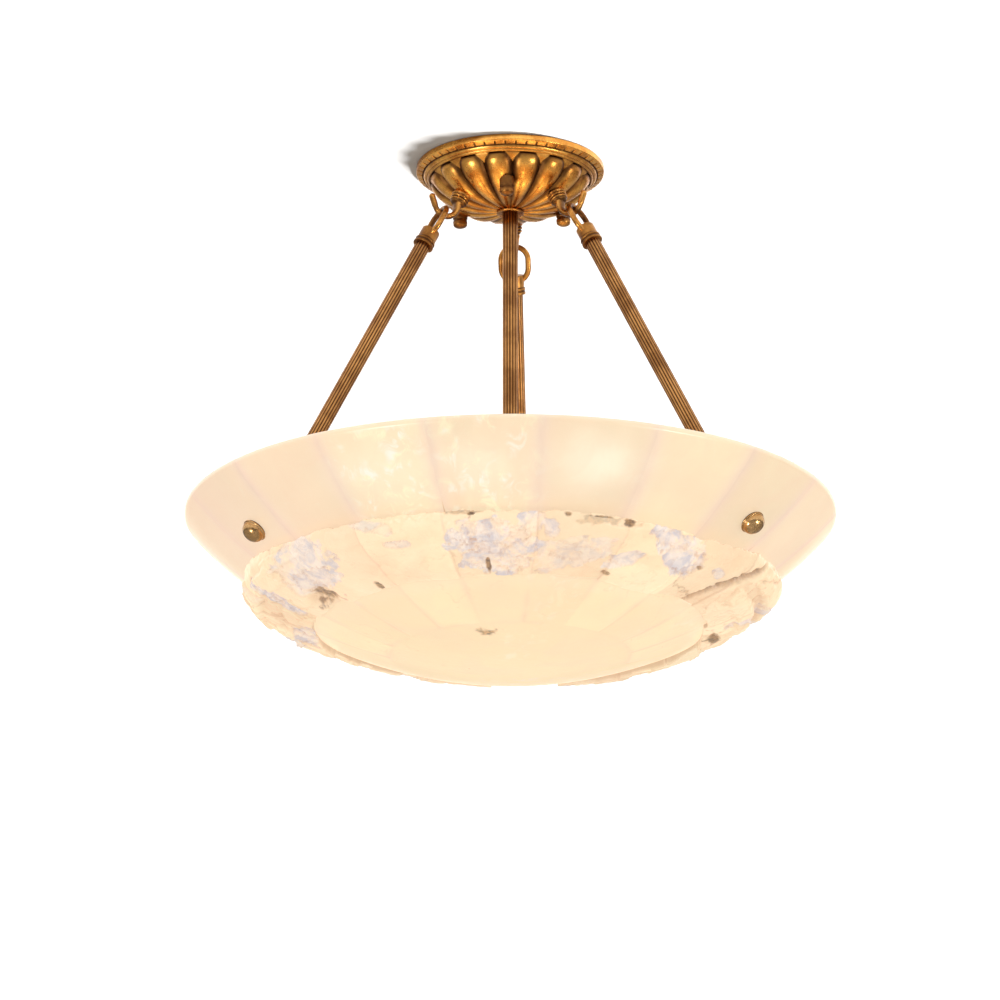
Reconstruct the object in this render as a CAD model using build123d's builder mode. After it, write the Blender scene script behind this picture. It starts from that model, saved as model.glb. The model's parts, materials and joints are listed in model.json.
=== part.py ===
"""Alabaster bowl pendant: a stone bowl on three hooked rods, with a lamp cluster inside.

Millimetres.  The origin is the centre of the ceiling plane and +Z is up, so the whole
pendant hangs below z = 0.  Azimuths are measured from -Y, positive towards +X.
What repeats round the axis is drawn once with its outward direction on +X and its
tangent on +Y, and is then turned to each azimuth.
"""
from build123d import *
import os
from math import asin, atan2, cos, degrees, hypot, radians, sin, sqrt, tan

os.makedirs("parts", exist_ok=True)

# ---------------------------------------------------------------- driving dimensions
# Whole pendant
drop = 285.0                 # ceiling plane to the bowl's rim plane
arm_azimuths = (-60, 60, 180)
nut_azimuths = (0, 120, -120)
lamp_azimuths = (15, 135, -105)
thread_gap = 0.1             # radial clearance of threads and push fits
seat_gap = 0.3               # loose pieces at rest on what carries them

# Stone bowl
bowl_radius = 250.0
bowl_depth = 124.0           # rim plane to the lowest point of the dish
wall = 10.0
rim_edge = 4.5               # height of the upright edge round the rim
rim_round = 2.0
shoulder_round = 5.0         # edge between the upright rim edge and the band
band_foot_radius = 204.0
band_foot_depth = 47.0
band_curve = 320.0           # radius of the upper band's profile
dish_radius = 148.0
dish_curve = 344.0           # radius of the dish's sphere
disc_radius = 92.0
panel_count = 18
seam_azimuth = 8.7
glue_line = 0.3
crust_rise = 11.5            # how far the raw crust stands out at most

# Rods, caps, rings and hooks
rod_radius = 6.0
rod_bore = 3.5
reed_count = 16
reed_depth = 0.5
hook_inset = 7.0             # hook bends' centres, in from the petals' crests
hook_drop = 3.5              # hook bends' centres, below the canopy's foot
hook_bend = 9.5              # centreline radius of the bend
hook_thick = 5.0             # hook strap, measured in its bend's plane
hook_wide = 9.5              # strap width where it leaves the collar
hook_tip = 4.6               # diameter at the open end
hook_tip_length = 9.0
strap_run = 1.5              # straight strap between collar and bend
strap_sink = 1.0             # strap's start inside the collar
collar_tilt = 25.0           # collar axis from the vertical
collar_length = 8.5
collar_radius = 7.6
collar_waist = 1.3           # grooves between the collar's ribs, in from its radius
rib_thick = 1.45
rib_places = ((1.2, 0.0), (3.8, 0.3), (6.3, 0.6))    # up the collar, in from its radius
hook_wall = 3.0              # canopy metal left under a collar
hook_nut_flat = 9.0
hook_nut_high = 3.0
hook_post = 3.0              # radius of the threaded post through the canopy
ring_wire = 2.25             # radius
ring_bend = 10.75            # centreline radius of the ring's ends
ring_straight = 6.5          # length of its straight sides
ring_play = 1.0              # room round the ring in the cap's hole
ring_swing = 12.0            # how far the ring turns in the cap
cap_top_radius = 7.25
cap_rim_radius = 8.2
cap_length = 15.4
cap_over_ring = 5.5          # cap's top above the ring's lowest wire centre
cap_socket = 7.0
cap_collar = 2.2             # height of the cap's lower rim
cap_groove = 4.3             # groove above the cap's foot
cap_relief = 0.5             # step at the rim, the groove and the top edge

# Lower ends
knob_depth = 40.0            # knob axis on the stone, below the rim plane
pin_inset = 25.7             # clevis pin inside the stone's outer surface
pin_radius = 2.0
tongue_thick = 6.0
tongue_radius = 6.0
pin_head = 1.4
pin_head_radius = 3.2
pin_tail = 2.5               # pin standing out of the cheeks
clip_thick = 0.8
clip_radius = 3.4
foot_radius = 7.4
foot_edge = 1.5              # chamfer at the ferrule's lower end
foot_bead = 2.6              # bead at the ferrule's upper end
foot_groove = 0.7
foot_start = 14.0            # ferrule's lower end above the pin
foot_length = 18.0
foot_socket = 12.0
cheek_thick = 3.0
cheek_gap = 0.2
stud_radius = 2.5
stud_reach = 7.0             # thread standing out of the stone
stone_hole = 3.0
base_radius = 8.0
base_thick = 3.0
inner_washer = 2.0
outer_washer = 1.0
washer_radius = 8.6
washer_seat = 0.2            # flat washer on the curved stone
knob_flange = 9.75
knob_dome = 8.8
knob_height = 9.0
knob_flange_thick = 2.2
knob_edge = 1.0              # upright edge of the knob's flange
knob_step = 0.3

# Canopy
canopy_radius = 73.6
canopy_depth = 36.7          # ceiling plane to the flat under the petals
rim_band = 4.3               # height of the rim's upright edge
rim_width = 10.6             # canopy's radius to the petals' crests
rim_lip = 7.0                # canopy's radius to the opening in its top
lip_thick = 2.5
petal_count = 16
petal_azimuth = 6.5
shell_wall = 2.6
slit_count = 54
slit_length = 3.5
slit_width = 1.1
slit_inset = 3.7             # slits' middles, in from the canopy's radius
slit_rise = 1.7              # slits' floors, below the rim's upright edge
# the rim's underside: distance in from the canopy's radius, distance above the petals' top
rim_beads = (
    (6.6, 4.2),
    (7.2, 4.8),
    (7.7, 4.1),
    (8.4, 3.1),
    (9.2, 3.2),
    (10.8, 1.5),
    (11.4, 0.5),
    (12.4, 0.0),
)
# the petals' curve: valley radius and crest radius over the top crest radius, and
# depth over the canopy's depth
petal_curve = (
    (0.960, 1.000, 0.245),
    (0.952, 0.994, 0.341),
    (0.881, 0.952, 0.463),
    (0.778, 0.857, 0.613),
    (0.659, 0.730, 0.749),
    (0.524, 0.587, 0.858),
    (0.357, 0.413, 0.940),
    (0.175, 0.198, 1.000),
)
petal_top = 1                # station where the rim's foot meets the petals
wall_slope = 40.0            # steepness of the petals, for the shell's thickness
boss_radius = 10.8
boss_thick = 2.0

# Ceiling plate and what hangs in the canopy
plate_thick = 2.5
plate_length = 104.0
plate_width = 24.0
slot_spacing = 70.0
slot_length = 12.0
slot_width = 4.5
stud_pad = 7.4               # radius of the plate round a stud
nut_inset = 16.0             # cap nuts, in from the petals' crests
plate_stud = 2.0
stud_play = 0.3              # round a stud in the canopy's hole
stud_nut_flat = 7.0
stud_nut_high = 3.2
nut_radius = 5.75
nut_rise = 11.2              # flats that the cap nuts meet, above the canopy's foot
nut_length = 15.0
nut_bore_depth = 10.0
nipple_radius = 4.0
nipple_bore = 2.8
nipple_grip = 18.0           # thread inside the stem
lock_nut_flat = 13.0
lock_nut_high = 4.0
block_size = (14.0, 20.0, 10.0)
block_offset = 18.0
block_screw_place = 6.0      # screw, sideways from the block's middle
block_holes = (-6.4, -0.4)   # wire holes, sideways from the block's middle
block_hole = 1.8
block_round = 1.5
screw_radius = 1.5
screw_head = 1.6

# Lamp cluster
lamp_drop = 29.0             # lamp axes below the rim plane
cup_radius = 22.0
cup_height = 26.0
cup_wall = 2.0
cup_round = 4.0
cover_thick = 2.0
finial_radius = 8.0
finial_edge = 2.0
finial_waist = 5.4
finial_bead = 3.6
finial_length = 14.0
holder_radius = 13.5
holder_bore_depth = 26.0
holder_length = 34.0
holder_nipple = 5.0
nipple_inside = 3.0          # holder's nipple inside the cup's wall
holder_taper = 3.0
holder_lip = 1.4             # how far the lip stands out
lip_start = 5.0              # lip's lower edge behind the mouth
lip_end = 1.2
holder_stand = 0.6           # holder's seat off the cup's round side
base_shell = 7.0             # radius of the bulb's screw base
base_length = 25.0
globe_radius = 22.5
globe_offset = 27.0          # globe centre outside the holder's mouth
globe_neck = 3.0             # neck's radius over the base's
neck_angle = -40.0           # where the neck meets the globe
contact_thick = 0.8

# ---------------------------------------------------------------- derived places
rim_level = -drop
canopy_foot = -canopy_depth
petal_radius = canopy_radius - rim_width
petal_stations = [
    (petal_radius * valley, petal_radius * crest, -canopy_depth * depth)
    for valley, crest, depth in petal_curve
]
hook_circle = petal_radius - hook_inset      # radius of the circle through the hook bends
hook_level = canopy_foot - hook_drop
nut_circle = petal_radius - nut_inset
nut_seat = canopy_foot + nut_rise
stem_top = canopy_foot - boss_thick
lamp_level = rim_level - lamp_drop
cup_top = lamp_level + cup_height / 2
cup_foot = cup_top - cup_height

# The upper band's outer profile is an arc from below the rim edge to the band's foot.
band_top = (bowl_radius, rim_level - rim_edge)
band_foot = (band_foot_radius, rim_level - band_foot_depth)
half_chord = hypot(band_top[0] - band_foot[0], band_top[1] - band_foot[1]) / 2
chord_angle = atan2(band_top[1] - band_foot[1], band_top[0] - band_foot[0])
centre_distance = sqrt(band_curve**2 - half_chord**2)
band_centre = (
    (band_top[0] + band_foot[0]) / 2 - centre_distance * sin(chord_angle),
    (band_top[1] + band_foot[1]) / 2 + centre_distance * cos(chord_angle),
)

# The dish is a sphere about a point on the axis.
dish_centre = rim_level - bowl_depth + dish_curve


def on_dish(radius, curve):
    """Profile point of a sphere about the dish's centre, at a radius from the axis."""
    return (radius, dish_centre - sqrt(curve**2 - radius**2))


def band_point(depth, inset=0.0):
    """Profile point of the upper band at a depth below the rim plane."""
    radius = band_curve - inset
    height = rim_level - depth
    return (band_centre[0] + sqrt(radius**2 - (height - band_centre[1])**2), height)


def inward(point, centre, distance):
    """Move a profile point towards the centre of its arc."""
    length = hypot(point[0] - centre[0], point[1] - centre[1])
    share = distance / length
    return (point[0] + (centre[0] - point[0]) * share, point[1] + (centre[1] - point[1]) * share)


def between(start, end, share):
    """Point on the line from start to end."""
    return (start[0] + (end[0] - start[0]) * share, start[1] + (end[1] - start[1]) * share)


def dome_middle(edge_radius, edge_height, tip_height):
    """Point half way out on the spherical dome from an edge circle to a tip on the axis."""
    rise = tip_height - edge_height
    sphere = (edge_radius**2 + rise**2) / (2 * rise)
    middle_radius = edge_radius / 2
    drop_below_tip = abs(sphere) - sqrt(sphere**2 - middle_radius**2)
    return (middle_radius, tip_height - drop_below_tip * (1 if rise > 0 else -1))


# Knob axis: through the stone's outer wall, along its normal.
wall_point = band_point(knob_depth)
normal = (
    (wall_point[0] - band_centre[0]) / band_curve,
    (wall_point[1] - band_centre[1]) / band_curve,
)
pin_point = (wall_point[0] - normal[0] * pin_inset, wall_point[1] - normal[1] * pin_inset)

# Rod axis: from the clevis pin to the centre of the hook's bend.
rod_span = hypot(pin_point[0] - hook_circle, hook_level - pin_point[1])
rod_up = ((hook_circle - pin_point[0]) / rod_span, (hook_level - pin_point[1]) / rod_span)
ring_length = ring_straight + 2 * ring_bend
hook_to_ring = hook_bend - hook_thick / 2 - ring_wire - seat_gap
ring_foot = rod_span - hook_to_ring - ring_length
cap_top = ring_foot + cap_over_ring
cap_foot = cap_top - cap_length

# ---------------------------------------------------------------- frames
rod_frame = Plane(
    origin=(pin_point[0], 0, pin_point[1]),
    x_dir=(rod_up[1], 0, -rod_up[0]),
    z_dir=(rod_up[0], 0, rod_up[1]),
)
stud_frame = Plane(
    origin=(wall_point[0], 0, wall_point[1]),
    x_dir=(-normal[1], 0, normal[0]),
    z_dir=(normal[0], 0, normal[1]),
)
lamp_frame = Plane(origin=(0, 0, lamp_level), x_dir=(0, 0, -1), z_dir=(1, 0, 0))
axis_frame = Plane.XY


# ---------------------------------------------------------------- shared helpers
def at(radius, angle):
    """Point in a sketch at a radius and an angle in degrees."""
    return (radius * cos(radians(angle)), radius * sin(radians(angle)))


def turned(azimuth, frame=axis_frame):
    """Location of a frame drawn towards +X, turned to an azimuth."""
    return Location((0, 0, 0), (0, 0, azimuth - 90)) * frame.location


def export_each(piece, name, azimuths, frame=axis_frame):
    """Write a copy of the piece at each azimuth as name_1, name_2 and so on."""
    for number, azimuth in enumerate(azimuths, start=1):
        with BuildPart() as placed:
            with Locations(turned(azimuth, frame)):
                add(piece)
        placed.part.label = f"{name}_{number}"
        export_step(placed.part, f"parts/{placed.part.label}.step")


def export_group(piece, name, azimuths, frame=axis_frame):
    """Write one node that holds a copy of the piece at each azimuth."""
    with BuildPart() as group:
        for azimuth in azimuths:
            with Locations(turned(azimuth, frame)):
                add(piece)
    group.part.label = name
    export_step(group.part, f"parts/{name}.step")


def export_one(piece, name):
    """Label a finished piece and write it."""
    piece.label = name
    export_step(piece, f"parts/{name}.step")


def lobed_outline(valley, crest, count, start=0.0):
    """Closed outline of outward arcs from valley to valley, inside a BuildLine."""
    step = 360 / count
    for lobe in range(count):
        angle = start + lobe * step
        ThreePointArc(at(valley, angle), at(crest, angle + step / 2), at(valley, angle + step))


def reeded_tube(low, high, bore):
    """Reeded tube round Z between two heights."""
    with BuildPart() as tube:
        with BuildSketch(Plane.XY.offset(low)):
            with BuildLine():
                lobed_outline(rod_radius - reed_depth, rod_radius, reed_count)
            make_face()
            Circle(bore, mode=Mode.SUBTRACT)
        extrude(amount=high - low)
    return tube.part


def hexagon_nut(flat, high, bore, low):
    """Hexagon nut round Z, standing on a height."""
    with BuildPart() as nut:
        with BuildSketch(Plane.XY.offset(low)):
            RegularPolygon(flat / 2, 6, major_radius=False)
            Circle(bore, mode=Mode.SUBTRACT)
        extrude(amount=high)
        chamfer(nut.edges().group_by(Axis.Z)[-1].filter_by(GeomType.LINE), high * 0.15)
    return nut.part


# ---------------------------------------------------------------- stone bowl
panel_turn = 360 / panel_count
glue_angle = degrees(glue_line / dish_radius)
panel_azimuths = [seam_azimuth + panel_turn * number for number in range(panel_count)]


dish_edge = on_dish(dish_radius, dish_curve)
dish_edge_inside = inward(dish_edge, (0, dish_centre), wall)
band_foot_inside = inward(band_foot, band_centre, wall)

# Upper band: one panel, with the stud's hole cut where a panel carries a knob.
with BuildPart() as rim_panel:
    with BuildSketch(Plane.XZ) as band_profile:
        with BuildLine():
            inside_top = band_point(0, wall)
            inside_middle = band_point(band_foot_depth / 2, wall)
            Line(inside_top, (bowl_radius, rim_level))
            Line((bowl_radius, rim_level), band_top)
            ThreePointArc(band_top, band_point(band_foot_depth / 2), band_foot)
            Line(band_foot, band_foot_inside)
            ThreePointArc(band_foot_inside, inside_middle, inside_top)
        make_face()
        rim_corners = band_profile.vertices().group_by(Axis.Y)[-1]
        fillet(rim_corners, rim_round)
        shoulder = band_profile.vertices().sort_by_distance((bowl_radius, band_top[1], 0))[0]
        shoulder_turn = asin((band_centre[1] - band_top[1]) / band_curve)
        edge_left = 0.95 * (rim_edge - rim_round)
        fillet(shoulder, min(shoulder_round, edge_left / tan(shoulder_turn / 2)))
    revolve(axis=Axis.Z, revolution_arc=panel_turn - glue_angle)

with BuildPart() as rim_panels:
    for azimuth in panel_azimuths:
        with Locations(turned(azimuth)):
            add(rim_panel.part)
    for azimuth in arm_azimuths:
        with Locations(turned(azimuth, stud_frame)):
            Cylinder(stone_hole, 4 * wall, mode=Mode.SUBTRACT)
rim_panels.part.label = "bowl_rim_panels"
export_step(rim_panels.part, "parts/bowl_rim_panels.step")

# Raw crust: each block has its own outer profile, standing out from the straight
# line between the band's foot and the dish's edge, and a face split off at a slant.
crust_span = hypot(band_foot[0] - dish_edge[0], band_foot[1] - dish_edge[1])
crust_top = between(band_foot, dish_edge, glue_line / crust_span)
crust_top_inside = between(band_foot_inside, dish_edge_inside, glue_line / crust_span)
crust_out = ((band_foot[1] - dish_edge[1]) / crust_span, -(band_foot[0] - dish_edge[0]) / crust_span)
crust_stations = ((0.05, 0.40), (0.15, 0.86), (0.38, 1.0), (0.56, 0.88), (0.80, 0.45))


def crust_height(block, station):
    """Share of the full rise at a station of a block."""
    return 0.80 + 0.20 * sin(2.4 * block + 1.9 * station)


def crust_profile(block):
    """Outer profile points of a block, from its top edge down to its lower edge."""
    points = [crust_top]
    for station, (share, rise) in enumerate(crust_stations):
        base = between(band_foot, dish_edge, share)
        out = crust_rise * rise * crust_height(block, station)
        points.append((base[0] + crust_out[0] * out, base[1] + crust_out[1] * out))
    points.append(dish_edge)
    return points


with BuildPart() as crust_blocks:
    for block, azimuth in enumerate(panel_azimuths):
        with BuildPart(mode=Mode.PRIVATE) as rock:
            with BuildSketch(Plane.XZ):
                with BuildLine():
                    Polyline(*crust_profile(block), dish_edge_inside, crust_top_inside, close=True)
                make_face()
            revolve(axis=Axis.Z, revolution_arc=panel_turn - glue_angle)
            slant = 0.35 * sin(1.7 * block)
            middle = between(band_foot, dish_edge, 0.4)
            face_out = crust_rise * (0.72 + 0.2 * cos(2.9 * block))
            face_turn = panel_turn / 2
            chip_place = (middle[0] + crust_out[0] * face_out, middle[1] + crust_out[1] * face_out)
            chip_point = Vector(chip_place[0], 0, chip_place[1])
            chip_normal = Vector(crust_out[0], slant, crust_out[1])
            chip = Plane(
                origin=chip_point.rotate(Axis.Z, face_turn),
                z_dir=chip_normal.rotate(Axis.Z, face_turn),
            )
            split(bisect_by=chip, keep=Keep.BOTTOM)
        with Locations(turned(azimuth)):
            add(rock.part)
crust_blocks.part.label = "bowl_crust_blocks"
export_step(crust_blocks.part, "parts/bowl_crust_blocks.step")


def dish_slab(inner_radius, outer_radius, turn):
    """Piece of the dish between two radii, revolved through a turn."""
    with BuildPart() as slab:
        with BuildSketch(Plane.XZ):
            with BuildLine():
                low_in = on_dish(inner_radius, dish_curve)
                low_out = on_dish(outer_radius, dish_curve)
                low_middle = on_dish((inner_radius + outer_radius) / 2, dish_curve)
                high_in = inward(low_in, (0, dish_centre), wall)
                high_out = inward(low_out, (0, dish_centre), wall)
                high_middle = inward(low_middle, (0, dish_centre), wall)
                ThreePointArc(low_in, low_middle, low_out)
                Line(low_out, high_out)
                ThreePointArc(high_out, high_middle, high_in)
                Line(high_in, low_in)
            make_face()
        revolve(axis=Axis.Z, revolution_arc=turn)
    return slab.part


dish_panel = dish_slab(disc_radius + glue_line, dish_radius - glue_line, panel_turn - glue_angle)
with BuildPart() as dish_panels:
    for azimuth in panel_azimuths:
        with Locations(turned(azimuth)):
            add(dish_panel)
dish_panels.part.label = "bowl_dish_panels"
export_step(dish_panels.part, "parts/bowl_dish_panels.step")

export_one(dish_slab(0, disc_radius, 360), "bowl_centre_disc")

# ---------------------------------------------------------------- rods and their caps
# Drawn in the rod's frame: the clevis pin at the origin, Z up along the rod.
rod = reeded_tube(foot_start + foot_length - foot_socket + seat_gap, cap_foot + cap_socket - seat_gap, rod_bore)
export_each(rod, "rod", arm_azimuths, rod_frame)

with BuildPart() as cap:
    with BuildSketch(Plane.XZ) as cap_profile:
        with BuildLine():
            Polyline(
                (0, cap_foot),
                (cap_rim_radius, cap_foot),
                (cap_rim_radius, cap_foot + cap_collar - cap_relief),
                (cap_rim_radius - cap_relief, cap_foot + cap_collar),
                (cap_rim_radius - cap_relief, cap_foot + cap_groove),
                (cap_rim_radius - 2 * cap_relief, cap_foot + cap_groove + cap_relief),
                (cap_top_radius, cap_top - cap_relief),
                (cap_top_radius - cap_relief, cap_top),
                (0, cap_top),
                close=True,
            )
        make_face()
    revolve(axis=Axis.Z)
    with Locations((0, 0, cap_foot + cap_socket / 2)):
        Cylinder(rod_radius + thread_gap, cap_socket, mode=Mode.SUBTRACT)
    for swing in (-ring_swing, 0, ring_swing):
        across, above = ring_bend * sin(radians(swing)), ring_bend * cos(radians(swing))
        with Locations((0, across, ring_foot + above)):
            Torus(ring_bend, ring_wire + ring_play, rotation=(0, 90, 0), mode=Mode.SUBTRACT)
export_each(cap.part, "rod_cap", arm_azimuths, rod_frame)

with BuildPart() as ring:
    ring_middle = ring_foot + ring_length / 2
    for end in (-1, 1):
        bend_height = ring_middle + end * ring_straight / 2
        with BuildSketch(Plane.XY.offset(bend_height)):
            with Locations((0, ring_bend)):
                Circle(ring_wire)
        revolve(axis=Axis((0, 0, bend_height), (end, 0, 0)), revolution_arc=180)
    with BuildSketch(Plane.XY.offset(ring_middle - ring_straight / 2)):
        with Locations((0, ring_bend), (0, -ring_bend)):
            Circle(ring_wire)
    extrude(amount=ring_straight)
export_each(ring.part, "ring", arm_azimuths, rod_frame)

with BuildPart() as foot:
    with BuildSketch(Plane.XZ):
        with BuildLine():
            foot_top = foot_start + foot_length
            Polyline(
                (0, foot_start),
                (foot_radius - foot_edge, foot_start),
                (foot_radius, foot_start + foot_edge),
                (foot_radius, foot_top - foot_bead - 2 * foot_groove),
                (foot_radius - foot_groove, foot_top - foot_bead - foot_groove),
                (foot_radius, foot_top - foot_bead),
                (foot_radius, foot_top),
                (0, foot_top),
                close=True,
            )
        make_face()
    revolve(axis=Axis.Z)
    with Locations((0, 0, foot_top - foot_socket / 2)):
        Cylinder(rod_radius + thread_gap, foot_socket, mode=Mode.SUBTRACT)
    with BuildSketch(Plane.XZ):
        Circle(tongue_radius)
        with Locations((0, foot_start / 2)):
            Rectangle(2 * tongue_radius, foot_start)
    extrude(amount=tongue_thick / 2, both=True)
    with Locations(Location((0, 0, 0), (90, 0, 0))):
        Cylinder(pin_radius + thread_gap, 2 * tongue_thick, mode=Mode.SUBTRACT)
export_each(foot.part, "rod_foot", arm_azimuths, rod_frame)

# ---------------------------------------------------------------- clevises and knobs
# Drawn in the stud's frame: the stone's outer surface at the origin, Z outward.
base_face = -wall - washer_seat - inner_washer - base_thick
cheek_middle = tongue_thick / 2 + cheek_gap + cheek_thick / 2
with BuildPart() as clevis:
    with Locations((0, 0, base_face + base_thick / 2)):
        Cylinder(base_radius, base_thick)
    for side in (-1, 1):
        with BuildSketch(Plane.XZ.offset(-side * cheek_middle)):
            with Locations((0, -pin_inset)):
                Circle(tongue_radius)
            with Locations((0, (base_face - pin_inset) / 2)):
                Rectangle(2 * tongue_radius, base_face + pin_inset)
        extrude(amount=cheek_thick / 2, both=True)
    shank_foot = base_face + base_thick
    with Locations((0, 0, (shank_foot + stud_reach) / 2)):
        Cylinder(stud_radius, stud_reach - shank_foot)
    with Locations(Location((0, 0, -pin_inset), (90, 0, 0))):
        Cylinder(pin_radius + thread_gap, 4 * cheek_middle, mode=Mode.SUBTRACT)
export_each(clevis.part, "clevis_stud", arm_azimuths, stud_frame)

pin_half = cheek_middle + cheek_thick / 2 + pin_tail
with BuildPart() as pin:
    with Locations(Location((0, 0, -pin_inset), (90, 0, 0))):
        Cylinder(pin_radius, 2 * pin_half)
    head_middle = pin_half - pin_head / 2
    with Locations(Location((0, head_middle, -pin_inset), (90, 0, 0))):
        Cylinder(pin_head_radius, pin_head)
export_group(pin.part, "clevis_pins", arm_azimuths, stud_frame)

clip_place = -(cheek_middle + cheek_thick / 2 + (pin_tail - clip_thick) / 2)
with BuildPart() as clip:
    with Locations(Location((0, clip_place, -pin_inset), (90, 0, 0))):
        Cylinder(clip_radius, clip_thick)
        Cylinder(pin_radius, clip_thick, mode=Mode.SUBTRACT)
export_group(clip.part, "pin_clips", arm_azimuths, stud_frame)


def washer(low, thick, bore):
    """Flat rubber washer in the stud's frame, from a height."""
    with BuildPart() as disc:
        with BuildSketch(Plane.XY.offset(low)):
            Circle(washer_radius)
            Circle(bore, mode=Mode.SUBTRACT)
        extrude(amount=thick)
    return disc.part


inner_disc = washer(-wall - washer_seat - inner_washer, inner_washer, stud_radius + thread_gap)
export_group(inner_disc, "inner_washers", arm_azimuths, stud_frame)
outer_disc = washer(washer_seat / 4, outer_washer, stud_radius + thread_gap)
export_group(outer_disc, "outer_washers", arm_azimuths, stud_frame)

knob_foot = washer_seat / 4 + outer_washer + thread_gap
with BuildPart() as knob:
    with BuildSketch(Plane.XZ):
        with BuildLine():
            flange_top = knob_foot + knob_flange_thick
            knob_top = knob_foot + knob_height
            crown = dome_middle(knob_dome, flange_top, knob_top)
            Polyline(
                (0, knob_foot),
                (knob_flange, knob_foot),
                (knob_flange, knob_foot + knob_edge),
                (knob_dome + knob_step, knob_foot + knob_edge + knob_step),
                (knob_dome + knob_step, flange_top - knob_step),
                (knob_dome, flange_top),
            )
            ThreePointArc((knob_dome, flange_top), crown, (0, knob_top))
            Line((0, knob_top), (0, knob_foot))
        make_face()
    revolve(axis=Axis.Z)
    bore_depth = stud_reach + thread_gap
    with Locations((0, 0, bore_depth / 2)):
        Cylinder(stud_radius + thread_gap, bore_depth, mode=Mode.SUBTRACT)
export_each(knob.part, "knob", arm_azimuths, stud_frame)

# ---------------------------------------------------------------- canopy
collar_sine, collar_cosine = sin(radians(collar_tilt)), cos(radians(collar_tilt))
strap_top = (hook_circle - hook_bend, hook_level + strap_run)
collar_base = (
    strap_top[0] - collar_sine * (collar_length + strap_sink),
    strap_top[1] + collar_cosine * (collar_length + strap_sink),
)
# The collar's frame has its base on the canopy at the origin and Z out along its axis.
collar_frame = Plane(
    origin=(collar_base[0], 0, collar_base[1]),
    x_dir=(collar_cosine, 0, collar_sine),
    z_dir=(collar_sine, 0, -collar_cosine),
)
with BuildPart() as canopy:
    petals_start = petal_stations[petal_top][2]
    rim_core = petal_stations[0][0] - shell_wall
    with BuildSketch(Plane.XZ):
        with BuildLine():
            Polyline(
                (rim_core, 0),
                (canopy_radius, 0),
                (canopy_radius, -rim_band),
                *((canopy_radius - inside, petals_start + above) for inside, above in rim_beads),
                (rim_core, petals_start),
                close=True,
            )
        make_face()
    revolve(axis=Axis.Z)
    for valley, crest, height in petal_stations:
        with BuildSketch(Plane.XY.offset(height)):
            with BuildLine():
                lobed_outline(valley, crest, petal_count, petal_azimuth - 90)
            make_face()
    loft(ruled=True)
    # cavity, a shell's thickness inside the valleys
    inset = (shell_wall * sin(radians(wall_slope)), shell_wall * cos(radians(wall_slope)))
    with BuildSketch(Plane.XZ):
        with BuildLine():
            Polyline(
                (0, shell_wall),
                (canopy_radius - rim_lip, shell_wall),
                (canopy_radius - rim_lip, -lip_thick),
                *(
                    (valley - inset[0], height + inset[1])
                    for valley, crest, height in petal_stations[petal_top:]
                ),
                (0, canopy_foot + inset[1]),
                close=True,
            )
        make_face()
    revolve(axis=Axis.Z, mode=Mode.SUBTRACT)
    # slits round the rim
    with BuildSketch(Plane.XY.offset(petals_start)):
        with PolarLocations(canopy_radius - slit_inset, slit_count):
            Rectangle(slit_length, slit_width)
    extrude(amount=-rim_band - slit_rise - petals_start, mode=Mode.SUBTRACT)
    # flat seats, and holes for the nipple, the studs and the hook posts
    with Locations((0, 0, canopy_foot)):
        Cylinder(nipple_radius + thread_gap, 4 * shell_wall, mode=Mode.SUBTRACT)
    for azimuth in nut_azimuths:
        with Locations(turned(azimuth)):
            with Locations((nut_circle, 0, nut_seat - nut_length / 2)):
                Cylinder(nut_radius + seat_gap, nut_length, mode=Mode.SUBTRACT)
            with Locations((nut_circle, 0, nut_seat)):
                Cylinder(plate_stud + stud_play, 6 * shell_wall, mode=Mode.SUBTRACT)
    for azimuth in arm_azimuths:
        with Locations(turned(azimuth, collar_frame)):
            with Locations((0, 0, collar_length / 2)):
                Cylinder(collar_radius + seat_gap, collar_length, mode=Mode.SUBTRACT)
            with Locations((0, 0, -hook_wall - shell_wall)):
                Cylinder(hook_nut_flat * 0.75, 2 * shell_wall, mode=Mode.SUBTRACT)
            Cylinder(hook_post + thread_gap, 4 * shell_wall, mode=Mode.SUBTRACT)
canopy.part.label = "canopy_shell"
export_step(canopy.part, "parts/canopy_shell.step")

with BuildPart() as boss:
    with Locations((0, 0, canopy_foot - boss_thick / 2)):
        Cylinder(boss_radius, boss_thick)
    fillet(boss.edges().filter_by(GeomType.CIRCLE), boss_thick * 0.3)
    with Locations((0, 0, canopy_foot - boss_thick / 2)):
        Cylinder(nipple_radius + thread_gap, 2 * boss_thick, mode=Mode.SUBTRACT)
export_one(boss.part, "boss_disc")

with BuildPart() as cap_nut:
    nut_foot = nut_seat - thread_gap - nut_length
    with BuildSketch(Plane.XZ):
        with BuildLine():
            nut_top = nut_seat - thread_gap
            dome_start = nut_foot + nut_radius * 0.5
            Polyline((0, nut_top), (nut_radius, nut_top), (nut_radius, dome_start))
            nut_crown = dome_middle(nut_radius, dome_start, nut_foot)
            ThreePointArc((nut_radius, dome_start), nut_crown, (0, nut_foot))
            Line((0, nut_foot), (0, nut_top))
        make_face()
    revolve(axis=Axis.Z)
    with Locations((0, 0, nut_seat - nut_bore_depth / 2)):
        Cylinder(plate_stud + thread_gap, nut_bore_depth, mode=Mode.SUBTRACT)
nut_frame = Plane(origin=(nut_circle, 0, 0), x_dir=(1, 0, 0), z_dir=(0, 0, 1))
export_each(cap_nut.part, "cap_nut", nut_azimuths, nut_frame)

# ---------------------------------------------------------------- hooks
bend_start, bend_end = 180.0, 340.0


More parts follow.
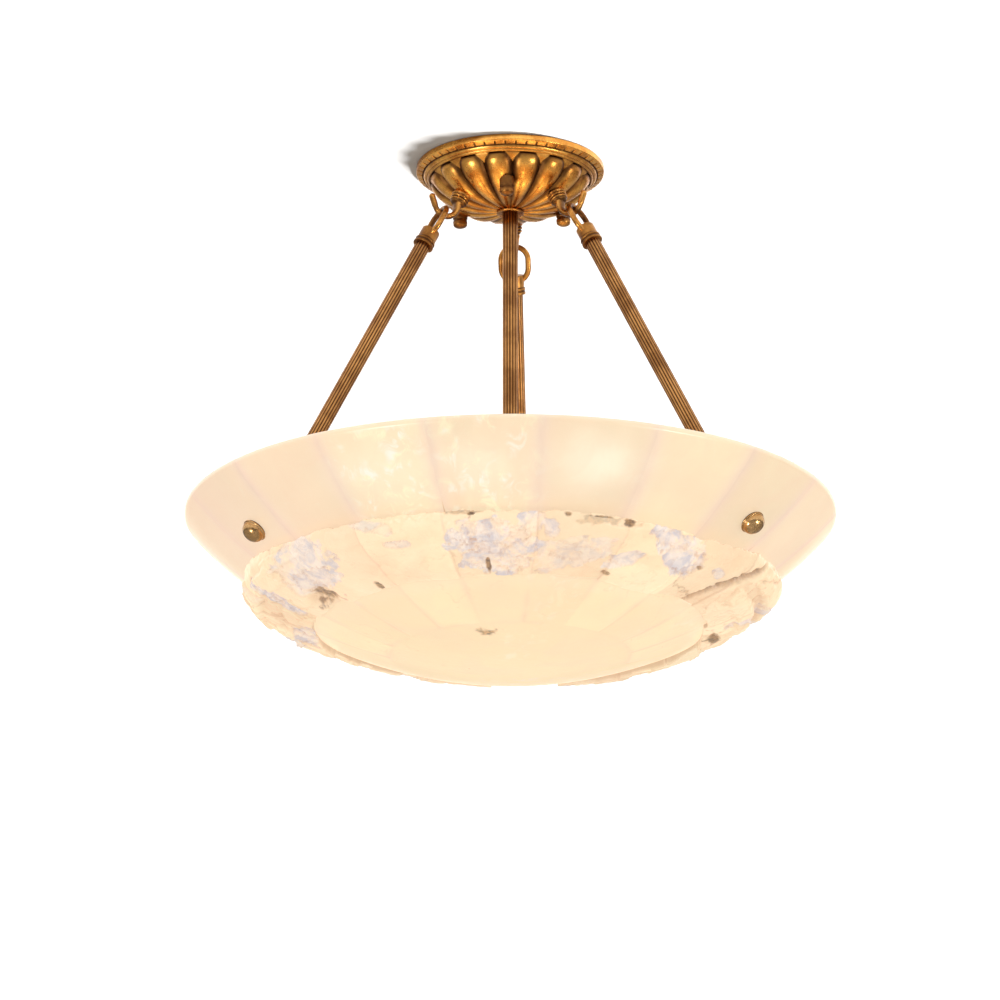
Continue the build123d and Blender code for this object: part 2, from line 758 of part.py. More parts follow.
def hook_section(angle):
    """Half width and half thickness of the strap at an angle round the bend."""
    share = (angle - bend_start) / (bend_end - bend_start)
    wide = hook_wide + (hook_tip - hook_wide) * share
    thick = hook_thick + (hook_tip - hook_thick) * share
    return wide / 2, thick / 2


with BuildPart() as hook:
    # strap: ellipses from the collar, round the bend, to the open end
    strap_planes = [Plane(
        origin=(collar_base[0] + collar_sine * (collar_length - strap_sink), 0,
                collar_base[1] - collar_cosine * (collar_length - strap_sink)),
        x_dir=(0, 1, 0), z_dir=(collar_sine, 0, -collar_cosine))]
    strap_sizes = [(hook_wide / 2 + 0.5, hook_thick / 2 + 0.8)]
    bend_steps = 8
    for step in range(bend_steps + 1):
        angle = bend_start + (bend_end - bend_start) * step / bend_steps
        spoke = at(1, angle)
        strap_planes.append(Plane(
            origin=(hook_circle + hook_bend * spoke[0], 0, hook_level + hook_bend * spoke[1]),
            x_dir=(0, 1, 0), z_dir=(-spoke[1], 0, spoke[0])))
        strap_sizes.append(hook_section(angle))
    last = strap_planes[-1]
    strap_planes.append(last.offset(hook_tip_length))
    strap_sizes.append((hook_tip / 2, hook_tip / 2))
    for plane, (wide, thick) in zip(strap_planes, strap_sizes):
        with BuildSketch(plane):
            Ellipse(wide, thick)
    loft()
    with Locations(strap_planes[-1].location):
        Sphere(hook_tip / 2)
    # ribbed collar and the threaded post through the canopy
    with Locations(collar_frame.location):
        with Locations((0, 0, collar_length / 2)):
            Cylinder(collar_radius - collar_waist, collar_length)
        for place, inward_by in rib_places:
            with Locations((0, 0, place)):
                Cylinder(collar_radius - inward_by, rib_thick)
        post_length = hook_wall + seat_gap + hook_nut_high + strap_sink
        with Locations((0, 0, -post_length / 2)):
            Cylinder(hook_post, post_length)
export_each(hook.part, "hook", arm_azimuths)

hook_nut_foot = -hook_wall - seat_gap - hook_nut_high
hook_nut = hexagon_nut(hook_nut_flat, hook_nut_high, hook_post + thread_gap, hook_nut_foot)
export_group(hook_nut, "hook_nuts", arm_azimuths, collar_frame)

# ---------------------------------------------------------------- ceiling plate
with BuildPart() as plate:
    with BuildSketch(Plane.XY.offset(-plate_thick)):
        SlotOverall(plate_length, plate_width)
        for azimuth in nut_azimuths:
            with Locations(turned(azimuth)):
                with Locations((nut_circle / 2, 0)):
                    Rectangle(nut_circle, 2 * stud_pad)
                with Locations((nut_circle, 0)):
                    Circle(stud_pad)
        Circle(nipple_radius + thread_gap, mode=Mode.SUBTRACT)
        with Locations((slot_spacing / 2, 0), (-slot_spacing / 2, 0)):
            SlotOverall(slot_length, slot_width, mode=Mode.SUBTRACT)
        for azimuth in nut_azimuths:
            with Locations(turned(azimuth)):
                with Locations((nut_circle, 0)):
                    Circle(plate_stud + thread_gap, mode=Mode.SUBTRACT)
        with Locations((block_offset, block_screw_place)):
            Circle(screw_radius + thread_gap, mode=Mode.SUBTRACT)
    extrude(amount=plate_thick)
export_one(plate.part, "ceiling_plate")

with BuildPart() as stud:
    stud_end = nut_seat - nut_bore_depth + plate_stud
    with Locations((0, 0, (stud_end - seat_gap) / 2)):
        Cylinder(plate_stud, -stud_end - seat_gap)
export_group(stud.part, "plate_studs", nut_azimuths, nut_frame)
stud_nut = hexagon_nut(stud_nut_flat, stud_nut_high, plate_stud + thread_gap, -plate_thick - stud_nut_high)
export_group(stud_nut, "stud_nuts", nut_azimuths, nut_frame)


def tube(outer, bore, low, high):
    """Plain tube round Z between two heights."""
    with BuildPart() as body:
        with BuildSketch(Plane.XY.offset(low)):
            Circle(outer)
            Circle(bore, mode=Mode.SUBTRACT)
        extrude(amount=high - low)
    return body.part


export_one(tube(nipple_radius, nipple_bore, stem_top - nipple_grip, 0), "stem_nipple")

cavity_floor = canopy_foot + inset[1]
with BuildPart() as nipple_nuts:
    add(hexagon_nut(lock_nut_flat, lock_nut_high, nipple_radius + thread_gap, -plate_thick - lock_nut_high))
    add(hexagon_nut(lock_nut_flat, lock_nut_high, nipple_radius + thread_gap, cavity_floor))
export_one(nipple_nuts.part, "nipple_nuts")

with BuildPart() as block:
    with Locations((block_offset, 0, -plate_thick - block_size[2] / 2)):
        Box(*block_size)
    fillet(block.edges().filter_by(Axis.Z), block_round)
    with Locations((block_offset, block_screw_place, -plate_thick - block_size[2] / 2)):
        Cylinder(screw_radius + thread_gap, 2 * block_size[2], mode=Mode.SUBTRACT)
    for place in block_holes:
        with Locations(Location((block_offset, place, -plate_thick - block_size[2] / 2), (0, 90, 0))):
            Cylinder(block_hole, 2 * block_size[0], mode=Mode.SUBTRACT)
export_one(block.part, "terminal_block")

with BuildPart() as block_screw:
    screw_foot = -plate_thick - block_size[2]
    with Locations((block_offset, block_screw_place, (screw_foot - seat_gap) / 2)):
        Cylinder(screw_radius, -screw_foot - seat_gap)
    with Locations((block_offset, block_screw_place, screw_foot - screw_head / 2)):
        Cylinder(2 * screw_radius, screw_head)
export_one(block_screw.part, "block_screw")

# ---------------------------------------------------------------- stem and lamp cluster
with BuildPart() as stem:
    add(reeded_tube(cup_top, stem_top, rod_bore))
    for height in (stem_top, cup_top):
        with Locations((0, 0, height)):
            Cylinder(nipple_radius + thread_gap, 2 * nipple_grip + 2, mode=Mode.SUBTRACT)
export_one(stem.part, "centre_stem")

finial_foot = cup_foot - cover_thick - finial_length
hub_nipple = tube(nipple_radius, nipple_bore, finial_foot + finial_length / 2, cup_top + nipple_grip)
export_one(hub_nipple, "hub_nipple")

with BuildPart() as cup:
    with Locations((0, 0, cup_top - cup_height / 2)):
        Cylinder(cup_radius, cup_height)
    fillet(cup.edges().group_by(Axis.Z)[-1], cup_round)
    with Locations((0, 0, cup_top - cup_wall - cup_height / 2)):
        Cylinder(cup_radius - cup_wall, cup_height, mode=Mode.SUBTRACT)
    with Locations((0, 0, cup_top)):
        Cylinder(nipple_radius + thread_gap, 4 * cup_wall, mode=Mode.SUBTRACT)
    for azimuth in lamp_azimuths:
        with Locations(turned(azimuth, lamp_frame)):
            with Locations((0, 0, cup_radius)):
                Cylinder(holder_nipple + thread_gap, 4 * cup_wall, mode=Mode.SUBTRACT)
export_one(cup.part, "cluster_cup")

with BuildPart() as cover:
    with Locations((0, 0, cup_foot - cover_thick / 2)):
        Cylinder(cup_radius, cover_thick)
    fillet(cover.edges().group_by(Axis.Z)[0], cover_thick * 0.6)
    with Locations((0, 0, cup_foot + cover_thick / 2)):
        Cylinder(cup_radius - cup_wall - thread_gap, cover_thick)
    with Locations((0, 0, cup_foot)):
        Cylinder(nipple_radius + thread_gap, 4 * cover_thick, mode=Mode.SUBTRACT)
export_one(cover.part, "cluster_cover")

with BuildPart() as finial:
    with BuildSketch(Plane.XZ):
        with BuildLine():
            top = cup_foot - cover_thick
            bead_height = finial_foot + finial_bead
            bead_crown = dome_middle(finial_bead, bead_height, finial_foot)
            Polyline(
                (0, finial_foot),
                (0, top),
                (finial_radius, top),
                (finial_radius, top - finial_edge),
                (finial_waist, bead_height + finial_edge),
                (finial_bead, bead_height),
            )
            ThreePointArc((finial_bead, bead_height), bead_crown, (0, finial_foot))
        make_face()
    revolve(axis=Axis.Z)
    with Locations((0, 0, cup_foot - cover_thick)):
        Cylinder(nipple_radius + thread_gap, finial_length, mode=Mode.SUBTRACT)
export_one(finial.part, "cluster_finial")

# Lampholders and bulbs are drawn in the lamp's frame: Z outward from the stem's axis.
holder_seat = cup_radius + holder_stand
holder_mouth = holder_seat + holder_length
with BuildPart() as holder:
    with BuildSketch(Plane.XZ):
        with BuildLine():
            Polyline(
                (0, cup_radius - cup_wall - nipple_inside),
                (holder_nipple, cup_radius - cup_wall - nipple_inside),
                (holder_nipple, holder_seat),
                (holder_radius - holder_taper, holder_seat),
                (holder_radius, holder_seat + holder_taper),
                (holder_radius, holder_mouth - lip_start),
                (holder_radius + holder_lip, holder_mouth - lip_start + holder_lip / 2),
                (holder_radius + holder_lip, holder_mouth - lip_end),
                (holder_radius, holder_mouth),
                (0, holder_mouth),
                close=True,
            )
        make_face()
    revolve(axis=Axis.Z)
    with Locations((0, 0, holder_mouth - holder_bore_depth / 2)):
        Cylinder(base_shell + thread_gap, holder_bore_depth, mode=Mode.SUBTRACT)
export_each(holder.part, "lampholder", lamp_azimuths, lamp_frame)

with BuildPart() as bulb:
    globe_centre = holder_mouth + globe_offset
    base_foot = holder_mouth + seat_gap - base_length
    with Locations((0, 0, base_foot + base_length / 2)):
        Cylinder(base_shell, base_length)
    with Locations((0, 0, base_foot)):
        Cylinder(base_shell * 0.5, contact_thick)
    with BuildSketch(Plane.XZ):
        with BuildLine():
            neck = holder_mouth + seat_gap
            shoulder_point = (
                globe_radius * cos(radians(neck_angle)),
                globe_centre + globe_radius * sin(radians(neck_angle)),
            )
            globe_top = (0, globe_centre + globe_radius)
            globe_side = (globe_radius, globe_centre)
            Polyline(globe_top, (0, neck), (base_shell + globe_neck, neck), shoulder_point)
            ThreePointArc(shoulder_point, globe_side, globe_top)
        make_face()
    revolve(axis=Axis.Z)
export_each(bulb.part, "bulb", lamp_azimuths, lamp_frame)
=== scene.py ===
"""Alabaster bowl pendant: the looks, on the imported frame.

The drawing sizes below are millimetres; every mesh is written in metres.  Azimuths are
measured from -Y, positive towards +X, as on the object.
"""
import json
from math import atan2, cos, hypot, pi, radians, sin, sqrt

import bpy
import numpy as np
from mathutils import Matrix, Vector


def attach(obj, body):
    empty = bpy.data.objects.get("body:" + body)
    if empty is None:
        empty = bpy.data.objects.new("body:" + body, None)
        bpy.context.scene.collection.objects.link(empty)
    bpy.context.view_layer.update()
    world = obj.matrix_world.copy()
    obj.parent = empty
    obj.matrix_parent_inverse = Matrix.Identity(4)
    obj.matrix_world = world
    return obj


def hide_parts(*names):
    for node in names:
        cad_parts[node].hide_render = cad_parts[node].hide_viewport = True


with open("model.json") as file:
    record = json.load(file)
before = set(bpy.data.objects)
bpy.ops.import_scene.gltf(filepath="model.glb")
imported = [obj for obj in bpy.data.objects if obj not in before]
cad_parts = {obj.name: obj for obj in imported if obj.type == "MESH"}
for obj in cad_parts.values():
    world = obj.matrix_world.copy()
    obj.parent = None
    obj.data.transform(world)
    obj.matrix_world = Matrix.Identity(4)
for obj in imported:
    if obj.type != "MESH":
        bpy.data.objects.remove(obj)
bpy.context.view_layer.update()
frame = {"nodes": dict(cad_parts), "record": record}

MM = 0.001

# ---------------------------------------------------------------- sizes
drop = 285.0
rim_level = -drop
arm_azimuths = (-60, 60, 180)
nut_azimuths = (0, 120, -120)
lamp_azimuths = (15, 135, -105)
# bowl
bowl_radius = 250.0
bowl_depth = 124.0
wall = 10.0
rim_edge = 4.5
band_foot_radius = 204.0
band_foot_depth = 47.0
band_reach = 15.0            # how far the band goes on down behind the crust
band_curve = 320.0
dish_radius = 148.0
dish_curve = 344.0
disc_radius = 92.0
panel_count = 18
panel_turn = 360.0 / panel_count
seam_azimuth = 8.7
crust_radius = 190.0         # middle of the crust, where its arcs are measured
# canopy and boss
canopy_radius = 73.6
canopy_depth = 36.7
canopy_opening = 66.6
rim_band = 4.3
slit_count = 54
petal_radius = 63.0
petal_count = 16
petal_azimuth = 4.8          # a valley between two petals
petal_sink = 3.3             # the valleys' depth below the shell's line
boss_radius = 10.8
boss_thick = 2.0
boss_bore = 4.1
# hooks, rings, rod caps and rods
hook_circle = 56.0
hook_level = -40.2
hook_bend = 9.5
hook_tip = 2.3
hook_tip_length = 9.0
strap_wide = 10.2
collar_tilt = 25.0
collar_length = 8.5
collar_radius = 7.6
ring_wire = 2.25
ring_bend = 10.75
ring_straight = 6.5
cap_length = 15.4
cap_rim_radius = 8.2
cap_top_radius = 7.25
cap_over_ring = 5.5
rod_radius = 6.0
rod_foot = 20.3
rod_in_cap = 6.7
reed_count = 16
reed_depth = 0.8
# knobs and cap nuts
knob_depth = 40.0
knob_foot = 1.15
knob_flange = 9.75
knob_radius = 8.8
knob_crown = 6.8
pin_inset = 25.7
nut_circle = 47.0
nut_seat = -25.5
nut_gap = 0.1
nut_radius = 5.75
nut_length = 15.0
nut_dome = 3.0
cup_top = rim_level - 29.0 + 13.0
on_axis = 0.01               # radius of a turned profile's ends, which are filled

# the upper band's arc and the dish's sphere
band_top = (bowl_radius, rim_level - rim_edge)
band_foot = (band_foot_radius, rim_level - band_foot_depth)
half_chord = hypot(band_top[0] - band_foot[0], band_top[1] - band_foot[1]) / 2
chord_angle = atan2(band_top[1] - band_foot[1], band_top[0] - band_foot[0])
centre_distance = sqrt(band_curve**2 - half_chord**2)
band_centre = (
    (band_top[0] + band_foot[0]) / 2 - centre_distance * sin(chord_angle),
    (band_top[1] + band_foot[1]) / 2 + centre_distance * cos(chord_angle),
)
dish_centre = rim_level - bowl_depth + dish_curve


def band_r(height, inset=0.0):
    """Radius of the band's outer face, or of its inner face, at a height."""
    radius = band_curve - inset
    return band_centre[0] + np.sqrt(radius**2 - (height - band_centre[1]) ** 2)


def dish_z(radius, inset=0.0):
    """Height of the dish's outer face, or of its inner face, at a radius."""
    return dish_centre - np.sqrt((dish_curve - inset) ** 2 - np.asarray(radius, float) ** 2)


wall_point = (float(band_r(rim_level - knob_depth)), rim_level - knob_depth)
normal = (
    (wall_point[0] - band_centre[0]) / band_curve,
    (wall_point[1] - band_centre[1]) / band_curve,
)
pin_point = (wall_point[0] - normal[0] * pin_inset, wall_point[1] - normal[1] * pin_inset)
rod_span = hypot(pin_point[0] - hook_circle, hook_level - pin_point[1])
rod_up = ((hook_circle - pin_point[0]) / rod_span, (hook_level - pin_point[1]) / rod_span)
hook_seat = hook_bend - 2.5 - ring_wire - 0.3     # from the hook's middle down to the ring's top
ring_length = ring_straight + 2 * ring_bend
ring_foot = rod_span - hook_seat - ring_length
cap_top = ring_foot + cap_over_ring
cap_foot = cap_top - cap_length


# ---------------------------------------------------------------- frames
def frame_of(origin, x_dir, z_dir):
    """4x4 of a frame in the plane of one azimuth, with its outward direction on +X."""
    x = np.array([x_dir[0], 0, x_dir[1]])
    z = np.array([z_dir[0], 0, z_dir[1]])
    m = np.eye(4)
    m[:3, 0], m[:3, 1], m[:3, 2], m[:3, 3] = x, np.cross(z, x), z, (origin[0], 0, origin[1])
    return m


plain_frame = np.eye(4)
rod_frame = frame_of(pin_point, (rod_up[1], -rod_up[0]), rod_up)
stud_frame = frame_of(wall_point, (-normal[1], normal[0]), normal)
nut_frame = frame_of((nut_circle, 0), (1, 0), (0, 1))


def turned(azimuth, base=plain_frame):
    """4x4 of a frame turned to an azimuth."""
    a = radians(azimuth - 90)
    t = np.eye(4)
    t[:2, :2] = [[cos(a), -sin(a)], [sin(a), cos(a)]]
    return t @ base


# ---------------------------------------------------------------- noise
def lattice(ix, iy, iz, seed):
    """Repeatable random number from 0 to 1 at whole-number places."""
    n = (ix.astype(np.int64) * 374761393 + iy.astype(np.int64) * 668265263
         + iz.astype(np.int64) * 2147483647 + np.int64(seed) * 974711)
    n &= 0xFFFFFFFF
    n ^= n >> 13
    n = (n * 1274126177) & 0xFFFFFFFF
    n ^= n >> 16
    return (n & 0xFFFFFF) / float(0xFFFFFF)


def smooth_noise(p, seed):
    """Smooth noise from -1 to 1 at points (..., 3)."""
    base = np.floor(p)
    f = p - base
    f = f * f * (3 - 2 * f)
    total = 0
    for dx in (0, 1):
        for dy in (0, 1):
            for dz in (0, 1):
                w = ((f[..., 0] if dx else 1 - f[..., 0]) * (f[..., 1] if dy else 1 - f[..., 1])
                     * (f[..., 2] if dz else 1 - f[..., 2]))
                corner = lattice(base[..., 0] + dx, base[..., 1] + dy, base[..., 2] + dz, seed)
                total = total + w * corner
    return total * 2 - 1


def layered(p, octaves, seed):
    """Several layers of smooth noise, each half as strong and about half as wide as the last."""
    total, size, scale = 0, 1.0, 1.0
    for k in range(octaves):
        total = total + size * smooth_noise(p * scale, seed + 17 * k)
        size *= 0.5
        scale *= 2.03
    return total


def cells(u, v, seed):
    """Cell pattern in the plane: how much further the second cell is than the nearest, and the
    nearest cell's random number."""
    bu, bv = np.floor(u), np.floor(v)
    near, second = np.full(u.shape, 9.0), np.full(u.shape, 9.0)
    pick = np.zeros(u.shape)
    for du in (-1, 0, 1):
        for dv in (-1, 0, 1):
            cu, cv = bu + du, bv + dv
            a, b, number = (lattice(cu, cv, 0 * cu + k, seed) for k in (0, 1, 2))
            d = np.hypot(cu + a - u, cv + b - v)
            closer = d < near
            second = np.where(closer, near, np.minimum(second, d))
            near = np.where(closer, d, near)
            pick = np.where(closer, number, pick)
    return second - near, pick


def ramp(x, low, high):
    """Smooth step from 0 at low to 1 at high."""
    t = np.clip((x - low) / (high - low), 0, 1)
    return t * t * (3 - 2 * t)


def hump(offset, width, power=2):
    """1 at no offset, falling to nearly 0 past a width; a power of 4 makes a flatter top."""
    return np.exp(-((offset / width) ** power))


def smoothed(values, times):
    """Row of numbers with its corners rounded; its ends stay."""
    kernel = np.array([1, 4, 6, 4, 1]) / 16.0
    values = values.copy()
    for _ in range(times):
        values[1:-1] = np.convolve(np.pad(values, 2, "edge"), kernel, "valid")[1:-1]
    return values


# ---------------------------------------------------------------- colours
def lin(*display):
    """Linear colour from display values of 0 to 255."""
    c = np.array(display) / 255
    return np.where(c <= 0.04045, c / 12.92, ((c + 0.055) / 1.055) ** 2.4)


def laid(tone, colour, amount):
    """Tone with a colour laid over it, by an amount of 0 to 1 at each point."""
    amount = np.asarray(amount)[..., None]
    return tone * (1 - amount) + colour * amount


# ---------------------------------------------------------------- points
def at(radius, azimuth, height):
    """Points at radii, azimuths in radians and heights."""
    radius, azimuth, height = np.broadcast_arrays(radius, azimuth, height)
    return np.stack([radius * np.sin(azimuth), -radius * np.cos(azimuth), height], -1)


def around(profile, azimuth):
    """Rows of points of a profile of (radius, height), at each azimuth in radians."""
    profile = np.asarray(profile, float)
    return at(profile[:, :1], azimuth, profile[:, 1:])


def azimuth_of(p):
    return np.degrees(np.arctan2(p[..., 0], -p[..., 1]))


def apart(azimuth, centre):
    """Signed angle from a centre, in degrees."""
    return (azimuth - centre + 180) % 360 - 180


def across(r, z):
    """Unit directions square to a profile, to the left of its run."""
    way = np.stack([np.gradient(r), np.gradient(z)], -1)
    way /= np.linalg.norm(way, axis=1)[:, None]
    return np.stack([-way[:, 1], way[:, 0]], -1)


def ahead(place, way, distance):
    """Point of a plane at a distance along a direction."""
    return (place[0] + way[0] * distance, place[1] + way[1] * distance)


def moved(points, matrix):
    """Points in a frame, taken to the object's frame."""
    return np.asarray(points, float) @ matrix[:3, :3].T + matrix[:3, 3]


def lathe(profile, steps=96, matrix=plain_frame):
    """Rows of points of a profile of (radius, height) turned round Z."""
    a = np.linspace(0, 2 * pi, steps, endpoint=False)
    radius, height = np.asarray(profile, float).T[..., None]
    rows = np.broadcast_arrays(radius * np.cos(a), radius * np.sin(a), height)
    return moved(np.stack(rows, -1), matrix)


def softened(profile, radius, steps=3):
    """Profile with its inner corners rounded."""
    out = [profile[0]]
    for a, b, c in zip(profile, profile[1:], profile[2:]):
        a, b, c = (np.asarray(q, float) for q in (a, b, c))
        la, lc = np.linalg.norm(a - b), np.linalg.norm(c - b)
        if la < 1e-6 or lc < 1e-6:
            out.append(tuple(b))
            continue
        ra = min(radius, la * 0.45, lc * 0.45)
        start, end = b + (a - b) / la * ra, b + (c - b) / lc * ra
        for t in np.linspace(0, 1, steps + 1):
            out.append(tuple((1 - t) ** 2 * start + 2 * t * (1 - t) * b + t**2 * end))
    out.append(profile[-1])
    return out


# ---------------------------------------------------------------- meshes
def linked(name, data):
    """Object in the scene."""
    obj = bpy.data.objects.new(name, data)
    bpy.context.scene.collection.objects.link(obj)
    return obj


def skin(points, name, closed=False, caps=False, flip=False, sharp=None):
    """Mesh object from rows of points in mm, each row a closed loop.  closed joins the last
    row to the first, caps fills the first and the last, and flip turns the faces over."""
    points = np.asarray(points, float)
    rows, cols = points.shape[:2]
    index = np.arange(rows * cols).reshape(rows, cols)
    base, above = (index, np.roll(index, -1, 0)) if closed else (index[:-1], index[1:])
    quads = np.stack([base, np.roll(base, -1, 1), np.roll(above, -1, 1), above], -1)
    quads = quads.reshape(-1, 4)
    faces = [tuple(q) for q in (quads[:, ::-1] if flip else quads).tolist()]
    verts = (points.reshape(-1, 3) * MM).tolist()
    for row in (0, rows - 1) if caps else ():
        centre = len(verts)
        verts.append((points[row].mean(0) * MM).tolist())
        for a, b in zip(index[row].tolist(), np.roll(index[row], -1).tolist()):
            faces.append((b, a, centre) if (row == 0) != flip else (a, b, centre))
    mesh = bpy.data.meshes.new(name)
    mesh.from_pydata(verts, [], faces)
    mesh.update()
    mesh.polygons.foreach_set("use_smooth", np.ones(len(mesh.polygons), bool))
    if sharp:
        mesh.set_sharp_from_angle(angle=radians(sharp))
    return linked(name, mesh)


def paint(obj, name, values):
    """Store one number or one colour for each vertex; the middles of caps get the last one."""
    values = np.asarray(values, float)
    is_colour = values.shape[-1] == 3
    count = len(obj.data.vertices)
    values = values.reshape(-1, 3 if is_colour else 1)
    values = np.vstack([values, np.repeat(values[-1:], count - len(values), 0)])
    if is_colour:
        attribute = obj.data.attributes.new(name, "FLOAT_COLOR", "POINT")
        attribute.data.foreach_set("color", np.hstack([values, np.ones((count, 1))]).ravel())
    else:
        attribute = obj.data.attributes.new(name, "FLOAT", "POINT")
        attribute.data.foreach_set("value", values.ravel())


def spun(name, profile, steps, matrix, sharp, patina_and_shade=None, flip=False):
    """Turned piece with its ends filled, and patina and painted shade laid along its profile."""
    obj = skin(lathe(profile, steps, matrix), name, caps=True, flip=flip, sharp=sharp)
    if patina_and_shade is not None:
        paint(obj, "patina_and_shade", np.repeat(np.array(patina_and_shade)[:, None], steps, 1))
    return obj


def dress(obj, body, material, slot, *nodes):
    """Material, body and the nodes that a piece stands for; the slot argument is not used."""
    obj.data.materials.clear()
    obj.data.materials.append(material)
    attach(obj, body)
    if nodes:
        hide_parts(*nodes)
    return obj


# ---------------------------------------------------------------- materials
class Nodes:
    """Short way to write the node tree of a material or of the world."""

    def __init__(self, owner, output="ShaderNodeOutputMaterial"):
        owner.use_nodes = True
        self.owner = owner
        self.tree = owner.node_tree
        self.tree.nodes.clear()
        self.out = self.tree.nodes.new(output)

    def add(self, kind, sockets=None, **settings):
        """Node with its settings, and with a value or a link for each socket given."""
        node = self.tree.nodes.new(kind)
        for key, value in settings.items():
            setattr(node, key, value)
        for key, value in (sockets or {}).items():
            socket = node.inputs[key]
            if isinstance(value, bpy.types.NodeSocket):
                self.tree.links.new(value, socket)
            elif socket.type == "RGBA":
                socket.default_value = (*value, 1.0)
            else:
                socket.default_value = value
        return node

    def math(self, operation, a, b, clamp=False):
        return self.add("ShaderNodeMath", {0: a, 1: b}, operation=operation,
                        use_clamp=clamp).outputs[0]

    def mix(self, factor, a, b):
        return self.add("ShaderNodeMix", {0: factor, 6: a, 7: b}, data_type="RGBA").outputs[2]

    def noise(self, vector, scale, detail, rough, distortion=0.0):
        return self.add("ShaderNodeTexNoise", {
            "Vector": vector, "Scale": scale, "Detail": detail, "Roughness": rough,
            "Distortion": distortion}).outputs["Fac"]

    def step(self, value, low, high, out_low=0.0, out_high=1.0, kind="SMOOTHSTEP"):
        return self.add("ShaderNodeMapRange", {
            "Value": value, "From Min": low, "From Max": high, "To Min": out_low,
            "To Max": out_high}, interpolation_type=kind).outputs["Result"]

    def where(self):
        return self.add("ShaderNodeTexCoord").outputs["Object"]

    def stretched(self, vector, scale):
        return self.add("ShaderNodeMapping", {"Vector": vector, "Scale": scale}).outputs[0]

    def attribute(self, name, kind="Fac"):
        return self.add("ShaderNodeAttribute", attribute_name=name).outputs[kind]

    def hollows(self, reach, power, samples):
        """0 in the open, rising towards 1 in hollows that are narrower than the reach."""
        node = self.add("ShaderNodeAmbientOcclusion", {"Distance": reach}, samples=samples,
                        only_local=True)
        return self.math("SUBTRACT", 1.0, self.math("POWER", node.outputs["AO"], power))

    def bump(self, height, strength, distance, **under):
        return self.add("ShaderNodeBump", {
            "Strength": strength, "Distance": distance, "Height": height, **under}).outputs[0]

    def surface(self, **inputs):
        """Principled surface on the output; an underscore in a name stands for a space."""
        sockets = {key.replace("_", " "): value for key, value in inputs.items()}
        shader = self.add("ShaderNodeBsdfPrincipled", sockets)
        self.tree.links.new(shader.outputs[0], self.out.inputs[0])
        return self.owner

    def either(self, factor, first, second):
        """The first shader where the factor is 0 and the second where it is 1."""
        shaders = {0: factor, 1: first.outputs[0], 2: second.outputs[0]}
        shader = self.add("ShaderNodeMixShader", shaders)
        self.tree.links.new(shader.outputs[0], self.out.inputs[0])
        return self.owner


GOLD = lin(222, 158, 80)
GOLD_DEEP = lin(138, 88, 42)
PATINA_AND_SHADE_BROWN = lin(72, 43, 25)


def brass(name, gold=GOLD, deep=GOLD_DEEP, brown_for_patina_and_shade=PATINA_AND_SHADE_BROWN, rough=0.24, reach=0.004, spots=0.26):
    """Antiqued brass: gold on the ridges, brown patina and painted shade in the hollows, with fine cast
    grain.
    """
    n = Nodes(bpy.data.materials.new(name))
    place = n.where()
    broad = n.noise(place, 55.0, 4.0, 0.6)
    fine = n.noise(place, 700.0, 4.0, 0.6)
    # patina and painted shade: ambient occlusion in the hollows, the shade and patina painted on each
    # piece, and patina spots
    patina_and_shade = n.math("ADD", n.hollows(reach, 2.2, 6), n.attribute("patina_and_shade"), clamp=True)
    spotty = n.step(n.noise(place, 260.0, 5.0, 0.7), 0.46, 0.74, 0.0, 0.5)
    patina_and_shade = n.math("ADD", patina_and_shade, n.math("MULTIPLY", spotty, spots), clamp=True)
    colour = n.mix(n.step(broad, 0.36, 0.66), deep, gold)
    colour = n.mix(n.math("MULTIPLY", patina_and_shade, 0.92), colour, brown_for_patina_and_shade)
    roughness = n.math("ADD", n.math("MULTIPLY", fine, 0.16), rough - 0.05)
    roughness = n.math("ADD", roughness, n.math("MULTIPLY", patina_and_shade, 0.22))
    return n.surface(Base_Color=colour, Metallic=1.0, Roughness=roughness,
                     Normal=n.bump(fine, 0.22, 0.0003))


